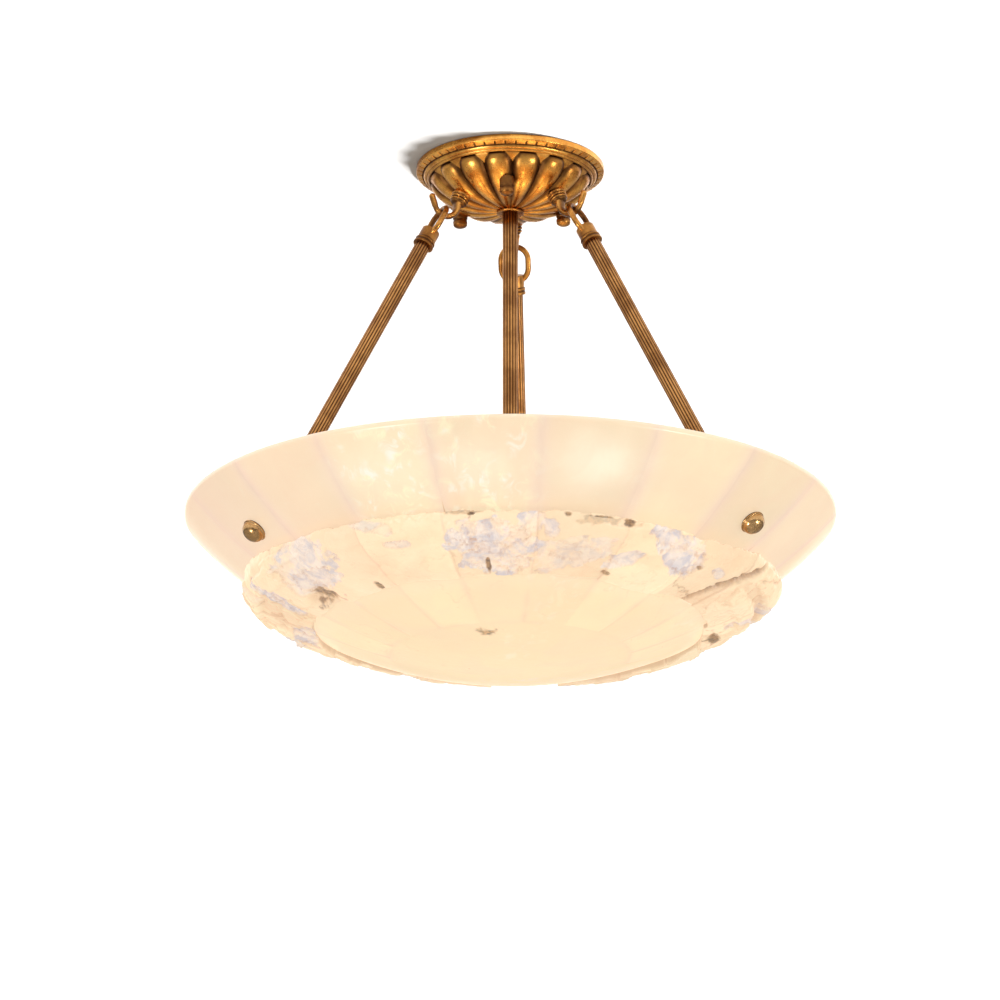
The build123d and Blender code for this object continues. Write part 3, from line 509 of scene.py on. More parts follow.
def alabaster(name, glow=0.83, rough=0.26, raw=False):
    """Lit alabaster, the lamps' light through it painted on as emission.  The broad tones are painted on
    the mesh; veins and grain come from here.
    """
    n = Nodes(bpy.data.materials.new(name))
    place = n.where()
    # cloudy patches, thin pale veins and flecks
    cloud = n.step(n.noise(place, 24.0, 5.0, 0.55, 0.8), 0.36, 0.66, 0.0, 0.26)
    colour = n.mix(cloud, n.attribute("tone", "Color"), lin(252, 216, 184))
    drift = n.noise(n.stretched(place, (1.0, 1.0, 0.36)), 80.0, 6.0, 0.6, 1.2)
    vein = n.math("MULTIPLY", n.step(drift, 0.46, 0.66), n.attribute("veins"))
    warm = n.step(n.noise(place, 60.0, 3.0, 0.5), 0.44, 0.6)
    pale = n.mix(warm, lin(255, 252, 236), lin(255, 249, 208))
    colour = n.mix(n.math("MULTIPLY", vein, 0.85), colour, pale)
    fleck = n.step(n.noise(place, 420.0, 3.0, 0.7), 0.56, 0.74, 0.0, 0.10)
    colour = n.mix(fleck, colour, lin(255, 248, 230))
    fine = n.noise(place, 240.0, 4.0, 0.6)
    face = n.bump(fine, 0.12, 0.0004)
    roughness = n.math("ADD", n.math("MULTIPLY", fine, 0.12), rough)
    dimmed = n.attribute("shade")
    unlit = 0.84
    if raw:
        # milky split faces with warm spots
        split = n.attribute("raw")
        grain = n.step(n.noise(place, 78.0, 6.0, 0.6, 0.6), 0.36, 0.62)
        milk = n.mix(grain, lin(190, 187, 200), lin(238, 224, 214))
        warm_spots = n.step(n.noise(place, 40.0, 5.0, 0.62, 0.5), 0.47, 0.60)
        milk = n.mix(n.math("MULTIPLY", warm_spots, 0.78), milk, lin(252, 226, 194))
        colour = n.mix(n.math("MULTIPLY", split, 0.80), colour, milk)
        # brown stains, and painted shade in the crevices
        speckle = n.step(n.noise(place, 260.0, 5.0, 0.7), 0.38, 0.62)
        brown = n.mix(speckle, lin(92, 60, 38), lin(214, 160, 104))
        colour = n.mix(n.attribute("stain"), colour, brown)
        crevice_shade = n.math("MULTIPLY", n.hollows(0.013, 1.9, 4), 0.72)
        colour = n.mix(crevice_shade, colour, lin(196, 150, 116))
        unlit = n.math("SUBTRACT", 0.82, n.math("MULTIPLY", split, 0.22))
        # broken grain, strongest where the stone is lumpy
        crumbs = n.math("MULTIPLY", n.noise(place, 420.0, 4.0, 0.7), 0.22)
        rubble = n.math("ADD", n.noise(place, 95.0, 7.0, 0.7), crumbs)
        lumpy = n.math("ADD", n.math("MULTIPLY", n.attribute("lumps"), 0.85), 0.12)
        face = n.bump(n.math("MULTIPLY", rubble, lumpy), 0.7, 0.0024, Normal=face)
        roughness = n.math("ADD", roughness, n.math("MULTIPLY", split, 0.3))
        dimmed = n.math("ADD", dimmed, n.math("MULTIPLY", split, 0.14), clamp=True)
    # the lamps' glow is painted on as emission, dimmed where the shade attribute says
    return n.surface(
        Base_Color=n.mix(unlit, colour, (0.02, 0.015, 0.012)), Roughness=roughness, Normal=face,
        Emission_Color=n.mix(dimmed, colour, (0.0, 0.0, 0.0)), Emission_Strength=glow,
    )


def plain(name, low, high, rough=0.4, metallic=0.0, emission=None, strength=0.0, bump=0.15):
    """Simple finish with mottled colour and a fine bump."""
    n = Nodes(bpy.data.materials.new(name))
    place = n.where()
    broad = n.noise(place, 90.0, 4.0, 0.6)
    fine = n.noise(place, 900.0, 3.0, 0.6)
    glow = {}
    if emission is not None:
        glow["Emission_Color"] = n.mix(n.step(broad, 0.3, 0.7), emission, 0.9 * emission)
        glow["Emission_Strength"] = strength
    return n.surface(
        Base_Color=n.mix(n.step(broad, 0.35, 0.68), low, high), Metallic=metallic,
        Normal=n.bump(fine, bump, 0.0002),
        Roughness=n.math("ADD", n.math("MULTIPLY", broad, 0.15), rough - 0.07), **glow)


brass_bright = brass("antique_brass")
brass_rod = brass("antique_brass_rod", gold=lin(206, 148, 88), deep=lin(158, 108, 62),
                  rough=0.25, reach=0.0012)
brass_canopy = brass("antique_brass_canopy", gold=lin(252, 184, 90), deep=lin(206, 136, 60),
                     rough=0.22, reach=0.005)
bronze = brass("dark_bronze", gold=lin(214, 172, 120), deep=lin(172, 132, 84),
               brown_for_patina_and_shade=lin(84, 60, 38), rough=0.22, spots=0.08)
steel = plain("zinc_steel", lin(168, 168, 164), lin(206, 206, 202), rough=0.34, metallic=1.0)
rubber = plain("black_rubber", lin(20, 20, 20), lin(34, 34, 34), rough=0.7)
ceramic = plain("glazed_ceramic", lin(232, 226, 214), lin(244, 240, 230), rough=0.2)
terminal = plain("moulded_terminal", lin(222, 220, 210), lin(236, 234, 226), rough=0.45)
lit_glass = plain("frosted_bulb", lin(255, 236, 205), lin(255, 243, 222), rough=0.35,
                  emission=lin(255, 222, 168), strength=2.4, bump=0.05)
stone_smooth = alabaster("alabaster")
stone_raw = alabaster("alabaster_crust", glow=0.88, raw=True, rough=0.34)
stone_dish = alabaster("alabaster_dish", raw=True, rough=0.24)

# ---------------------------------------------------------------- stone: tones
CREAM = lin(254, 231, 192)
WARM = lin(255, 227, 172)
BRIGHT = lin(255, 250, 224)
PEACH = lin(250, 216, 186)
# where the lamps shine through: azimuth, half width in degrees, depth, half height, strength
GLOWS = (
    (20, 8, 27, 15, 0.6), (-4, 6, 30, 13, 0.25), (6, 16, 32, 22, 0.12), (-24, 9, 30, 16, 0.25),
    (135, 9, 28, 16, 0.8), (115, 8, 34, 16, 0.4), (-105, 9, 28, 16, 0.75), (-128, 8, 34, 16, 0.4),
)


def seam_line(azimuth, radius, width):
    """1 on a panel seam, falling to nearly 0 past a width in mm to each side."""
    turn = (azimuth - seam_azimuth) / panel_turn
    off = np.abs(turn - np.round(turn)) * panel_turn
    return hump(np.radians(off) * radius, width)


def stone_tone(p, warmth=0.0, whole=False):
    """Broad colour of the lit stone: each panel's own tint and the lamps' glow.  A whole
    piece has one tint."""
    azimuth = azimuth_of(p)
    panel = np.floor((azimuth - seam_azimuth) / panel_turn) % panel_count * (not whole)
    zero = 0 * panel
    tint, peach = lattice(panel, zero + 3, zero, 11), lattice(panel, zero + 5, zero, 12)
    colour = CREAM * (0.92 + 0.12 * tint[..., None])
    colour = laid(colour, PEACH, 0.42 * peach)
    colour = colour * (1 + 0.05 * layered(p / 55.0, 4, 3)[..., None])
    blot = 1 + 0.35 * layered(p / 21.0, 4, 13)
    for centre, wide, depth, high, strength in GLOWS:
        across_it = apart(azimuth, centre) / wide
        down_it = (rim_level - p[..., 2] - depth) / high
        near = np.exp(-(across_it**2 + down_it**2) * blot) * strength
        colour = laid(colour, BRIGHT * 1.08, near)
    return laid(colour, WARM, warmth)


# ---------------------------------------------------------------- stone: upper band
# rounded rim edge: inset from the bowl's radius and depth below the rim plane
RIM_ROUND = ((1.9, 0.0), (0.9, 0.35), (0.25, 1.0), (0.05, 2.0), (0.02, 3.0), (0.2, 4.2), (0.75, 5.1))
inner_shade = 0.12           # how much darker the stone's inner faces are


def make_band():
    """Smooth upper band of panels, from its inner foot over the rim to its outer foot."""
    cols = 1440
    a = np.radians(np.linspace(0, 360, cols, endpoint=False))
    inner_heights = rim_level - 1.5 - np.linspace(1, 0, 22) * (band_foot_depth - 8.0)
    inner = [(float(band_r(h, wall)), h) for h in inner_heights]
    inner_top = float(band_r(rim_level - 1.0, wall))
    inner += [(inner_top + 0.1, rim_level - 1.2), (inner_top + 0.9, rim_level - 0.3),
              (inner_top + 2.2, rim_level)]
    edge_foot = rim_edge + 1.2
    face = edge_foot + np.linspace(0, 1, 46)[1:] * (band_foot_depth + band_reach - edge_foot)
    outer = [(bowl_radius - inset, rim_level - depth) for inset, depth in RIM_ROUND]
    outer += [(float(band_r(rim_level - depth)), rim_level - depth) for depth in face]
    profile = np.array(inner + outer)
    outside = (np.arange(len(profile)) >= len(inner))[:, None]
    r, z = profile[:, :1] * np.ones(cols), profile[:, 1:] * np.ones(cols)
    p = at(r, a, z)
    azimuth = azimuth_of(p)
    # hand-ground face: gentle waves, and shallow grooves at the seams
    groove = seam_line(azimuth, r, 0.9) * 0.22
    wave = layered(p / 38.0, 3, 5) * 0.28
    shift = np.where(outside, wave - groove - 0.45, wave * 0.5)
    obj = skin(at(r + shift, a, z), "stone_band", flip=True, sharp=55)
    # wavering seams, each a soft line in a wider halo
    tone = stone_tone(p)
    depth = rim_level - z
    waver = 1.1 * layered(np.stack([azimuth * 0 + 2, depth / 16.0, azimuth / 9.0], -1), 3, 9)
    wavy = azimuth + np.degrees(waver / 235.0)
    blur = (0.75 + 0.5 * layered(p / 14.0, 3, 8)).clip(0.15, 1)
    tone = laid(tone, lin(246, 216, 202), 0.34 * seam_line(wavy, r, 8.0))
    tone = laid(tone, lin(228, 196, 184), 0.26 * seam_line(wavy, r, 3.2) * blur)
    # long upright drifts within a panel
    streak = layered(np.stack([azimuth * 0.55, azimuth * 0 + 4, depth / 90.0], -1), 4, 21)
    flowing = 0.35 + hump(apart(azimuth, -4), 9.0, 4)
    tone = tone * (1 + 0.022 * (streak * flowing)[..., None])
    # darker, rosier stone at the far left and right, and a painted highlight along the rim's rounded
    # edge
    for centre, wide, strength in ((-74, 26, 0.55), (80, 16, 0.30)):
        tone = laid(tone, lin(240, 208, 186), strength * hump(apart(azimuth, centre), wide))
    tone = laid(tone, lin(255, 236, 214), 0.35 * hump(depth - 0.8, 1.6))
    paint(obj, "tone", tone)
    # crystal veins: one strongly veined panel left of the middle, fainter ones elsewhere
    strong = hump(apart(azimuth, -21), 8.5, 4) * ramp(depth, 3, 9)
    strong = np.maximum(strong, 0.9 * hump(apart(azimuth, -1.5), 9.0, 4))
    patch = ramp(layered(p / 17.0, 3, 33), -0.45, 0.35)
    faint = 0.12 * ramp(layered(p / 70.0, 3, 31), 0.2, 0.8)
    paint(obj, "veins", np.clip(strong * patch + faint, 0, 1))
    paint(obj, "shade", np.where(outside, 0.0, inner_shade) * np.ones_like(r))
    dress(obj, "bowl", stone_smooth, "alabaster", "bowl_rim_panels")


# ---------------------------------------------------------------- stone: raw crust
# outline of the crust's boldest blocks: depth below the rim plane and radius
HULL = (
    (46.0, 204.9), (50.0, 205.9), (55.0, 205.7), (60.0, 204.6), (66.0, 201.0), (70.0, 197.6),
    (74.0, 193.0), (78.0, 187.4), (82.0, 180.0), (86.0, 172.0), (89.5, 164.5), (92.5, 157.0),
    (94.0, 152.0), (94.2, 149.5),
)
# where the split face starts: azimuth, depth
CRUST_START = (
    (-180, 52), (-130, 50), (-92, 46.5), (-70, 52), (-47, 56), (-30, 56.5), (-9, 56.5), (2, 58),
    (14, 56.5), (34, 58.5), (49, 61.5), (60, 59), (69, 55), (91, 52), (130, 49), (180, 52),
)
# raw patches: azimuth, depth, half width in degrees, half height in mm, slant in mm a degree,
# strength, lumpiness
RAW_PATCHES = (
    (-52, 75, 11, 17, -0.5, 0.85, 0.08), (-76, 79, 3.6, 15, 0.0, 1.0, 0.4),
    (-84, 66, 3.0, 8, 1.4, 0.6, 0.3), (-96, 91, 8, 4.5, 0.2, 0.9, 0.4),
    (-28, 62, 5, 4.5, 0.9, 0.5, 0.3), (-23, 76, 3, 2.2, 0.2, 0.5, 0.3),
    (0, 80, 10.5, 15.5, 0.0, 0.95, 0.85), (7, 68, 3.4, 8, 0.0, 0.9, 0.2),
    (12, 70, 2.0, 7, 0.0, 0.8, 0.2), (18, 83, 9.5, 8, -0.3, 0.5, 0.6),
    (44, 73, 9.5, 10.5, 0.6, 1.0, 0.05), (32, 83, 5, 3.5, -0.9, 0.8, 0.2),
    (60, 79, 2.6, 2.2, 0.3, 0.7, 0.3), (96, 78, 4.5, 11, -1.8, 1.0, 0.8),
    (108, 66, 7, 7, 0.4, 0.6, 0.5), (124, 76, 8, 10, 0.2, 0.9, 0.8),
    (146, 68, 9, 9, -0.3, 0.9, 0.5), (168, 84, 9, 8, 0.0, 0.9, 0.8),
    (-168, 66, 9, 8, -0.3, 0.8, 0.6), (-146, 82, 9, 9, 0.2, 0.9, 0.6),
    (-122, 68, 8, 9, 0.5, 1.0, 0.5), (-108, 84, 6, 6, 0.0, 0.8, 0.8),
)
# brown places: azimuth, depth, half width in degrees, half height in mm, darkness
STAINS = (
    (-57, 91, 6.0, 4.0, 0.75), (-6.5, 59.5, 4.2, 2.6, 0.5), (-5.0, 61, 1.0, 1.2, 1.0),
    (-2.6, 90, 0.7, 5.5, 0.9), (23, 63.5, 7.5, 4.0, 0.36), (22.5, 60.8, 2.8, 1.0, 0.9),
    (28.4, 63, 1.8, 3.2, 0.95), (15, 60.5, 1.1, 2.6, 0.8), (53, 80, 0.8, 0.9, 0.7),
    (101, 92, 3.6, 2.4, 0.9), (29, 91, 1.6, 1.2, 0.7), (-36, 93, 1.2, 2.5, 0.8),
    (128, 64, 3.0, 2.2, 0.7), (152, 86, 3.6, 3.0, 0.8), (-152, 66, 3.0, 2.4, 0.7),
    (-118, 86, 3.2, 2.6, 0.8),
)
# hair cracks: azimuth, depth, slant in mm a degree, half width in degrees
CRACKS = ((84, 62, -1.1, 9), (-84, 76, 1.2, 9), (56, 91, 0.35, 8))
# blocks that stand out or are broken away: azimuths, depths, rise in mm
BLOCKS = (
    (-104, -82, 58, 74, 2.6), (-100, -70, 74, 84, -2.2), (-78, -63, 66, 78, 2.2),
    (-125, -97, 80, 96, 2.5), (-66, -50, 62, 70, 1.5), (78, 108, 58, 73, 3.0),
    (84, 110, 73, 79, -3.2), (74, 104, 79, 86, 2.8), (100, 128, 86, 96, 2.5),
    (30, 46, 84, 96, 1.2), (-40, -20, 60, 72, 0.8),
)
# inside of the crust, from its seat on the dish up behind the band: radius and height
CRUST_INSIDE = (
    (143.0, float(dish_z(143.0)) + 1.5), (143.5, float(dish_z(143.5, wall)) + 1.0),
    (165.0, -357.0), (182.0, -342.0), (194.0, -331.0), (196.5, -326.5),
)


def make_crust():
    """Band of broken stone: one skin with its blocks, ledges, raw patches, stains and splits."""
    cols, rows = 2000, 96
    a = np.linspace(0, 360, cols, endpoint=False) - 180
    s = np.linspace(0, 1, rows)
    az, S = np.meshgrid(a, s)
    hull = np.array(HULL)
    along = np.concatenate([[0], np.cumsum(np.hypot(*np.diff(hull, axis=0).T))])
    total = along[-1]
    depth0, radius0 = (smoothed(np.interp(s * total, along, line), 3) for line in hull.T)
    out = across(radius0, -depth0)
    D, R = (np.repeat(line[:, None], cols, 1) for line in (depth0, radius0))
    arc = np.radians(az) * crust_radius
    length = S * total
    ring = at(crust_radius, np.radians(az), length) * (1, -1, 1)
    warp = layered(ring / 11.0, 4, 41)
    warp2 = layered(ring / 4.5, 3, 43)
    start = np.interp(a, *np.array(CRUST_START).T) + 1.1 * warp2 + 0.8 * warp
    below = ramp(D - start, -0.4, 1.3)

    # masks: rough raw stone, its lumpiness, brown places, a long open split and hair cracks
    raw, lumpy, stain, hair = (np.zeros_like(S) for _ in range(4))
    for centre, depth, wide, high, slant, strength, lumps in RAW_PATCHES:
        off = apart(az, centre)
        u, v = np.abs(off / wide), np.abs((D - depth - slant * off) / high)
        body = 1.0 - (u**2.6 + v**2.6) ** (1 / 2.6) + 0.30 * warp + 0.10 * warp2
        mask = strength * ramp(body, 0.0, 0.10) * below
        raw = np.maximum(raw, mask)
        lumpy = np.maximum(lumpy, mask * lumps)
    for centre, depth, wide, high, dark in STAINS:
        body = 1.0 - np.hypot(apart(az, centre) / wide, (D - depth) / high)
        stain = np.maximum(stain, dark * ramp(body + 0.45 * warp + 0.35 * warp2, 0.05, 0.5))
    split_line = 94.0 - 2.35 * apart(az, 61.5) + 1.4 * warp2
    off = apart(az, 68.5)
    split = hump(D - split_line, 3.4) * ramp(off, -8.5, -5.5) * ramp(-off, -8, -5)
    for centre, depth, slant, wide in CRACKS:
        off = apart(az, centre)
        crack = hump(D - depth - slant * off - 1.8 * warp2, 0.5)
        hair = np.maximum(hair, crack * ramp(wide - np.abs(off), 0, 3))

    # relief: blocks split off at each seam, each tilted a little
    turn = (az - seam_azimuth) / panel_turn
    within = turn - np.floor(turn) - 0.5
    number = np.floor(turn) % panel_count
    b1, b2, b3, b4 = (lattice(number, number * 0 + k, number * 0, 5) for k in (1, 2, 3, 4))
    lower = ramp(S, 0.35, 0.75)
    relief = -0.4 - 2.2 * b1 * (1 - lower) + 2.0 * (b2 - 0.5) * within
    relief += lower * (-4.4 * b3 + 4.4 * (b4 - 0.5) * within)
    # ledges, lumps and fine fracture
    border, pick = cells(arc / 24.0 + 0.3 * warp, length / 14.0 + 0.25 * warp2, 7)
    ledge = (pick - 0.60) * 3.6 * ramp(border, 0.0, 0.08)
    sides = ramp(np.abs(az), 62, 78) * ramp(S, 0.2, 0.4)
    relief += ledge * (0.22 + 0.6 * raw + 0.4 * sides)
    _, pick = cells(arc / 6.5 + 0.5 * warp2, length / 4.2 + 0.35 * warp, 9)
    lumps = (pick - 0.5) * 1.3 + 0.55 * layered(ring / 3.0, 4, 47)
    lumps += 0.2 * layered(ring / 1.2, 3, 49)
    relief += lumps * (0.10 + 0.9 * lumpy) + 0.25 * layered(ring / 6.0, 3, 53) * (0.4 + raw)
    relief += 0.8 * layered(ring / 19.0, 3, 51)
    relief -= 1.3 * raw * (1 - 0.5 * lumpy)
    # a hollow on the left, the stains, the split and the cracks
    hollow = np.hypot(apart(az, -57) / 7.5, (D - 90.5) / 5.0)
    relief -= 6.0 * ramp(1.15 - hollow, 0.0, 0.8)
    relief -= np.minimum(stain, 0.8) + 4.5 * split + 0.5 * hair
    # the far side stands out further down, and one shoulder on the right
    far_side = ramp(np.abs(az), 118, 136) * lower
    relief += far_side * (6.0 - 3.0 * b3)
    relief += 1.6 * hump(apart(az, 94), 9.0, 4) * hump(D - 64, 9.0, 4)
    for first, last, top, foot, rise in BLOCKS:
        sideways = ramp(apart(az, first) + 1.2 * warp, -0.5, 0.5)
        sideways = sideways * ramp(-apart(az, last) + 1.2 * warp, -0.5, 0.5)
        upright = ramp(D + 1.5 * warp, top - 0.8, top + 0.8)
        upright = upright * ramp(-D + 1.5 * warp, -foot - 0.8, 0.8 - foot)
        relief += rise * sideways * upright
    relief = np.clip(relief, -8.0, 3.2 + 2.4 * far_side) * below
    # ragged lower edge; above its start the skin lies just inside the band
    ragged = 2.6 * layered(np.stack([arc / 22.0, b1 * 9, b2 * 9], -1), 3, 61) + 3.0 * (b3 - 0.5)
    r = R + relief * out[:, :1] + ramp(S, 0.86, 1.0) * ragged * 0.8
    z = rim_level - D + relief * out[:, 1:2]
    r = below * r + (1 - below) * np.minimum(r, band_r(z) - 0.8)
    outer = at(r, np.radians(az), z)
    # under the lower edge up to the dish, and closed along the inside
    edge_r, edge_z = r[-1], z[-1]
    seat_r = np.minimum(edge_r - 0.6, 150.5)
    seat_z = dish_z(seat_r) + 0.5
    under = []
    for in_share, up_share in ((0.3, 0.35), (0.75, 0.8), (1.0, 1.0)):
        under.append(at(edge_r + (seat_r - edge_r) * in_share, np.radians(a),
                        edge_z + (seat_z - edge_z) * up_share))
    for radius, height in CRUST_INSIDE:
        wave = 0.5 * layered(np.stack([a / 9.0, a * 0 + radius, a * 0], -1), 3, 71)
        under.append(at(radius + wave, np.radians(a), height))
    obj = skin(np.concatenate([outer, np.array(under)], 0), "stone_crust", flip=True)

    # tones: peach clouds, glue lines, painted shade in the sunk places and a dark upper edge
    peach = ramp(layered(ring / 24.0, 3, 83), -0.2, 0.6) * below
    glue = seam_line(az, R, 0.9) * ramp(layered(ring / 12.0, 2, 81), -0.6, 0.4) * below
    sunk_shade = ramp(-relief, 1.0, 6.0) * below
    edge = hump(D - start - 0.4, 0.55) * ramp(warp, -0.5, 0.5)
    tone = stone_tone(outer, 0.15)
    for amount, colour in ((0.5 * peach, lin(254, 217, 176)), (0.35 * glue, lin(222, 184, 158)),
                           (0.5 * sunk_shade, lin(224, 180, 140)), (0.38 * edge, lin(206, 172, 152))):
        tone = laid(tone, colour, amount)
    # the part under the edge and inside is painted a little darker, as shade
    under_shaded = np.repeat(tone[-1:] * 0.93, len(under), 0)
    paint(obj, "tone", np.concatenate([tone, under_shaded], 0))

    def whole(values, rest=0.0):
        """Values of the outer face, and one value for what lies under it."""
        return np.vstack([values, np.full((len(under), cols), rest)])

    paint(obj, "raw", whole(raw * (1 - 0.6 * stain)))
    paint(obj, "stain", whole(np.clip(0.85 * stain + 0.6 * split + 0.3 * hair, 0, 1)))
    shade = np.clip(0.55 * stain**2 + 0.35 * split + 0.1 * hair, 0, 0.9)
    paint(obj, "shade", whole(shade, 0.1))
    paint(obj, "veins", whole(0.2 * raw))
    paint(obj, "lumps", whole(lumpy))
    dress(obj, "bowl", stone_raw, "alabaster_crust", "bowl_crust_blocks")


# ---------------------------------------------------------------- stone: dish
BROWN_SPOT = (-13.5, -78.0)


def make_dish(name, low, high, node, whole):
    """Part of the dish between two radii: panels with seams, or one whole disc."""
    cols, rows = 720, 46
    a = np.radians(np.linspace(0, 360, cols, endpoint=False))
    outer = [(radius, float(dish_z(radius))) for radius in np.linspace(low, high, rows)]
    inner_radii = np.linspace(high * 0.985, max(low, 0.5), 16)
    inner = [(radius, float(dish_z(radius, wall))) for radius in inner_radii]
    profile = np.array(outer + inner)
    outside = (np.arange(len(profile)) < rows)[:, None]
    r, z = profile[:, :1] * np.ones(cols), profile[:, 1:] * np.ones(cols)
    p = at(r, a, z)
    azimuth = azimuth_of(p)
    seams = seam_line(azimuth, r, 0.8) * (not whole)
    rise = np.where(outside, 0.22 * seams + 0.2 * layered(p / 40.0, 3, 91) + 0.35, 0)
    obj = skin(at(r, a, z + rise), name, closed=not whole, flip=True, sharp=50)
    # the lamps' glow on the dish is the band's, 45 mm further down
    tone = stone_tone(p + (0, 0, 45), 0.42, whole)
    tone = tone * (1 + 0.03 * hump(r, 95.0)[..., None])
    # seams, the joint round the disc and the outer joint, each broken up
    waver = 0.9 * layered(p / 18.0, 3, 94)
    blur = (0.5 + 0.75 * layered(p / 22.0, 3, 93)).clip(0.05, 1)
    soft = seam_line(azimuth + np.degrees(waver / 120.0), r, 2.6) * (not whole)
    ring = 0.7 * hump(r - disc_radius + waver, 2.4) + hump(r - dish_radius, 2.5)
    fissure = hump(layered(p / 34.0, 4, 99), 0.022) * ramp(layered(p / 30.0, 2, 98), 0.0, 0.5)
    pale = hump(r - dish_radius + 7, 7.0)
    for amount, colour in ((0.34 * soft * blur, lin(238, 200, 172)),
                           (0.34 * ring * blur, lin(238, 200, 172)),
                           (0.22 * fissure, lin(226, 180, 140)), (0.16 * pale, lin(255, 238, 208))):
        tone = laid(tone, colour, amount)
    paint(obj, "tone", tone)
    paint(obj, "veins", 0.3 * ramp(layered(p / 45.0, 3, 95), 0.0, 0.7))
    paint(obj, "shade", np.where(outside, 0.0, inner_shade) * np.ones_like(r))
    spot = np.hypot((p[..., 0] - BROWN_SPOT[0]) / 1.25, p[..., 1] - BROWN_SPOT[1])
    speck = ramp(1.0 - spot / 7.5 + 0.45 * layered(p / 3.0, 4, 97), 0.1, 0.6) * outside
    paint(obj, "stain", 0.75 * speck * whole)
    paint(obj, "raw", 0 * r)
    paint(obj, "lumps", 0 * r)
    dress(obj, "bowl", stone_dish, "alabaster", node)


make_band()
make_crust()
make_dish("stone_dish", disc_radius, dish_radius + 1.5, "bowl_dish_panels", False)
make_dish("stone_centre", 0.05, disc_radius, "bowl_centre_disc", True)

# ---------------------------------------------------------------- canopy
# turned rim below its band: inset from the canopy's radius and depth below the band
RIM_STEPS = (
    (0.5, 0.5), (4.6, 2.3), (4.9, 1.4), (5.5, 1.5), (5.7, 3.0), (6.6, 4.3), (7.8, 4.7), (8.2, 4.3),
    (9.0, 5.6), (10.2, 6.2), (10.9, 5.8),
)
# the petals' line: shares of the petals' radius and of the canopy's depth
PETAL_CURVE = (
    (0.985, 0.235), (0.975, 0.300), (0.952, 0.380), (0.917, 0.463), (0.840, 0.600), (0.730, 0.735),
    (0.600, 0.845), (0.440, 0.928), (0.300, 0.968), (0.190, 0.990), (0.150, 1.0),
)
# along a petal from its top: shares of its length, then its width as a share of the pitch, its
# height in mm, and how far the shell's line is sunk
PETAL_WIDTH = ((0.0, 0.02, 0.05, 0.09, 0.15, 0.24, 0.4, 0.75, 1.0),
               (0.30, 0.56, 0.70, 0.80, 0.89, 0.96, 0.99, 0.97, 0.90))
PETAL_HEIGHT = ((0.0, 0.04, 0.10, 0.2, 0.35, 0.55, 0.8, 1.0),
                (0.0, 3.0, 4.6, 5.6, 5.6, 4.4, 2.2, 0.35))
PETAL_SINK = ((0.0, 0.2, 1.0), (0.9, 1.0, 0.12))
# inside of the shell: radius and height
SHELL_INSIDE = (
    (5.0, -canopy_depth + 3.0), (20.0, -32.5), (34.0, -27.0), (45.0, -20.0), (55.0, -13.0),
    (58.5, -9.5), (63.5, -4.0), (canopy_opening, -2.5),
)
tip_end = 0.30               # share of a petal's length where the leaf tips between them end


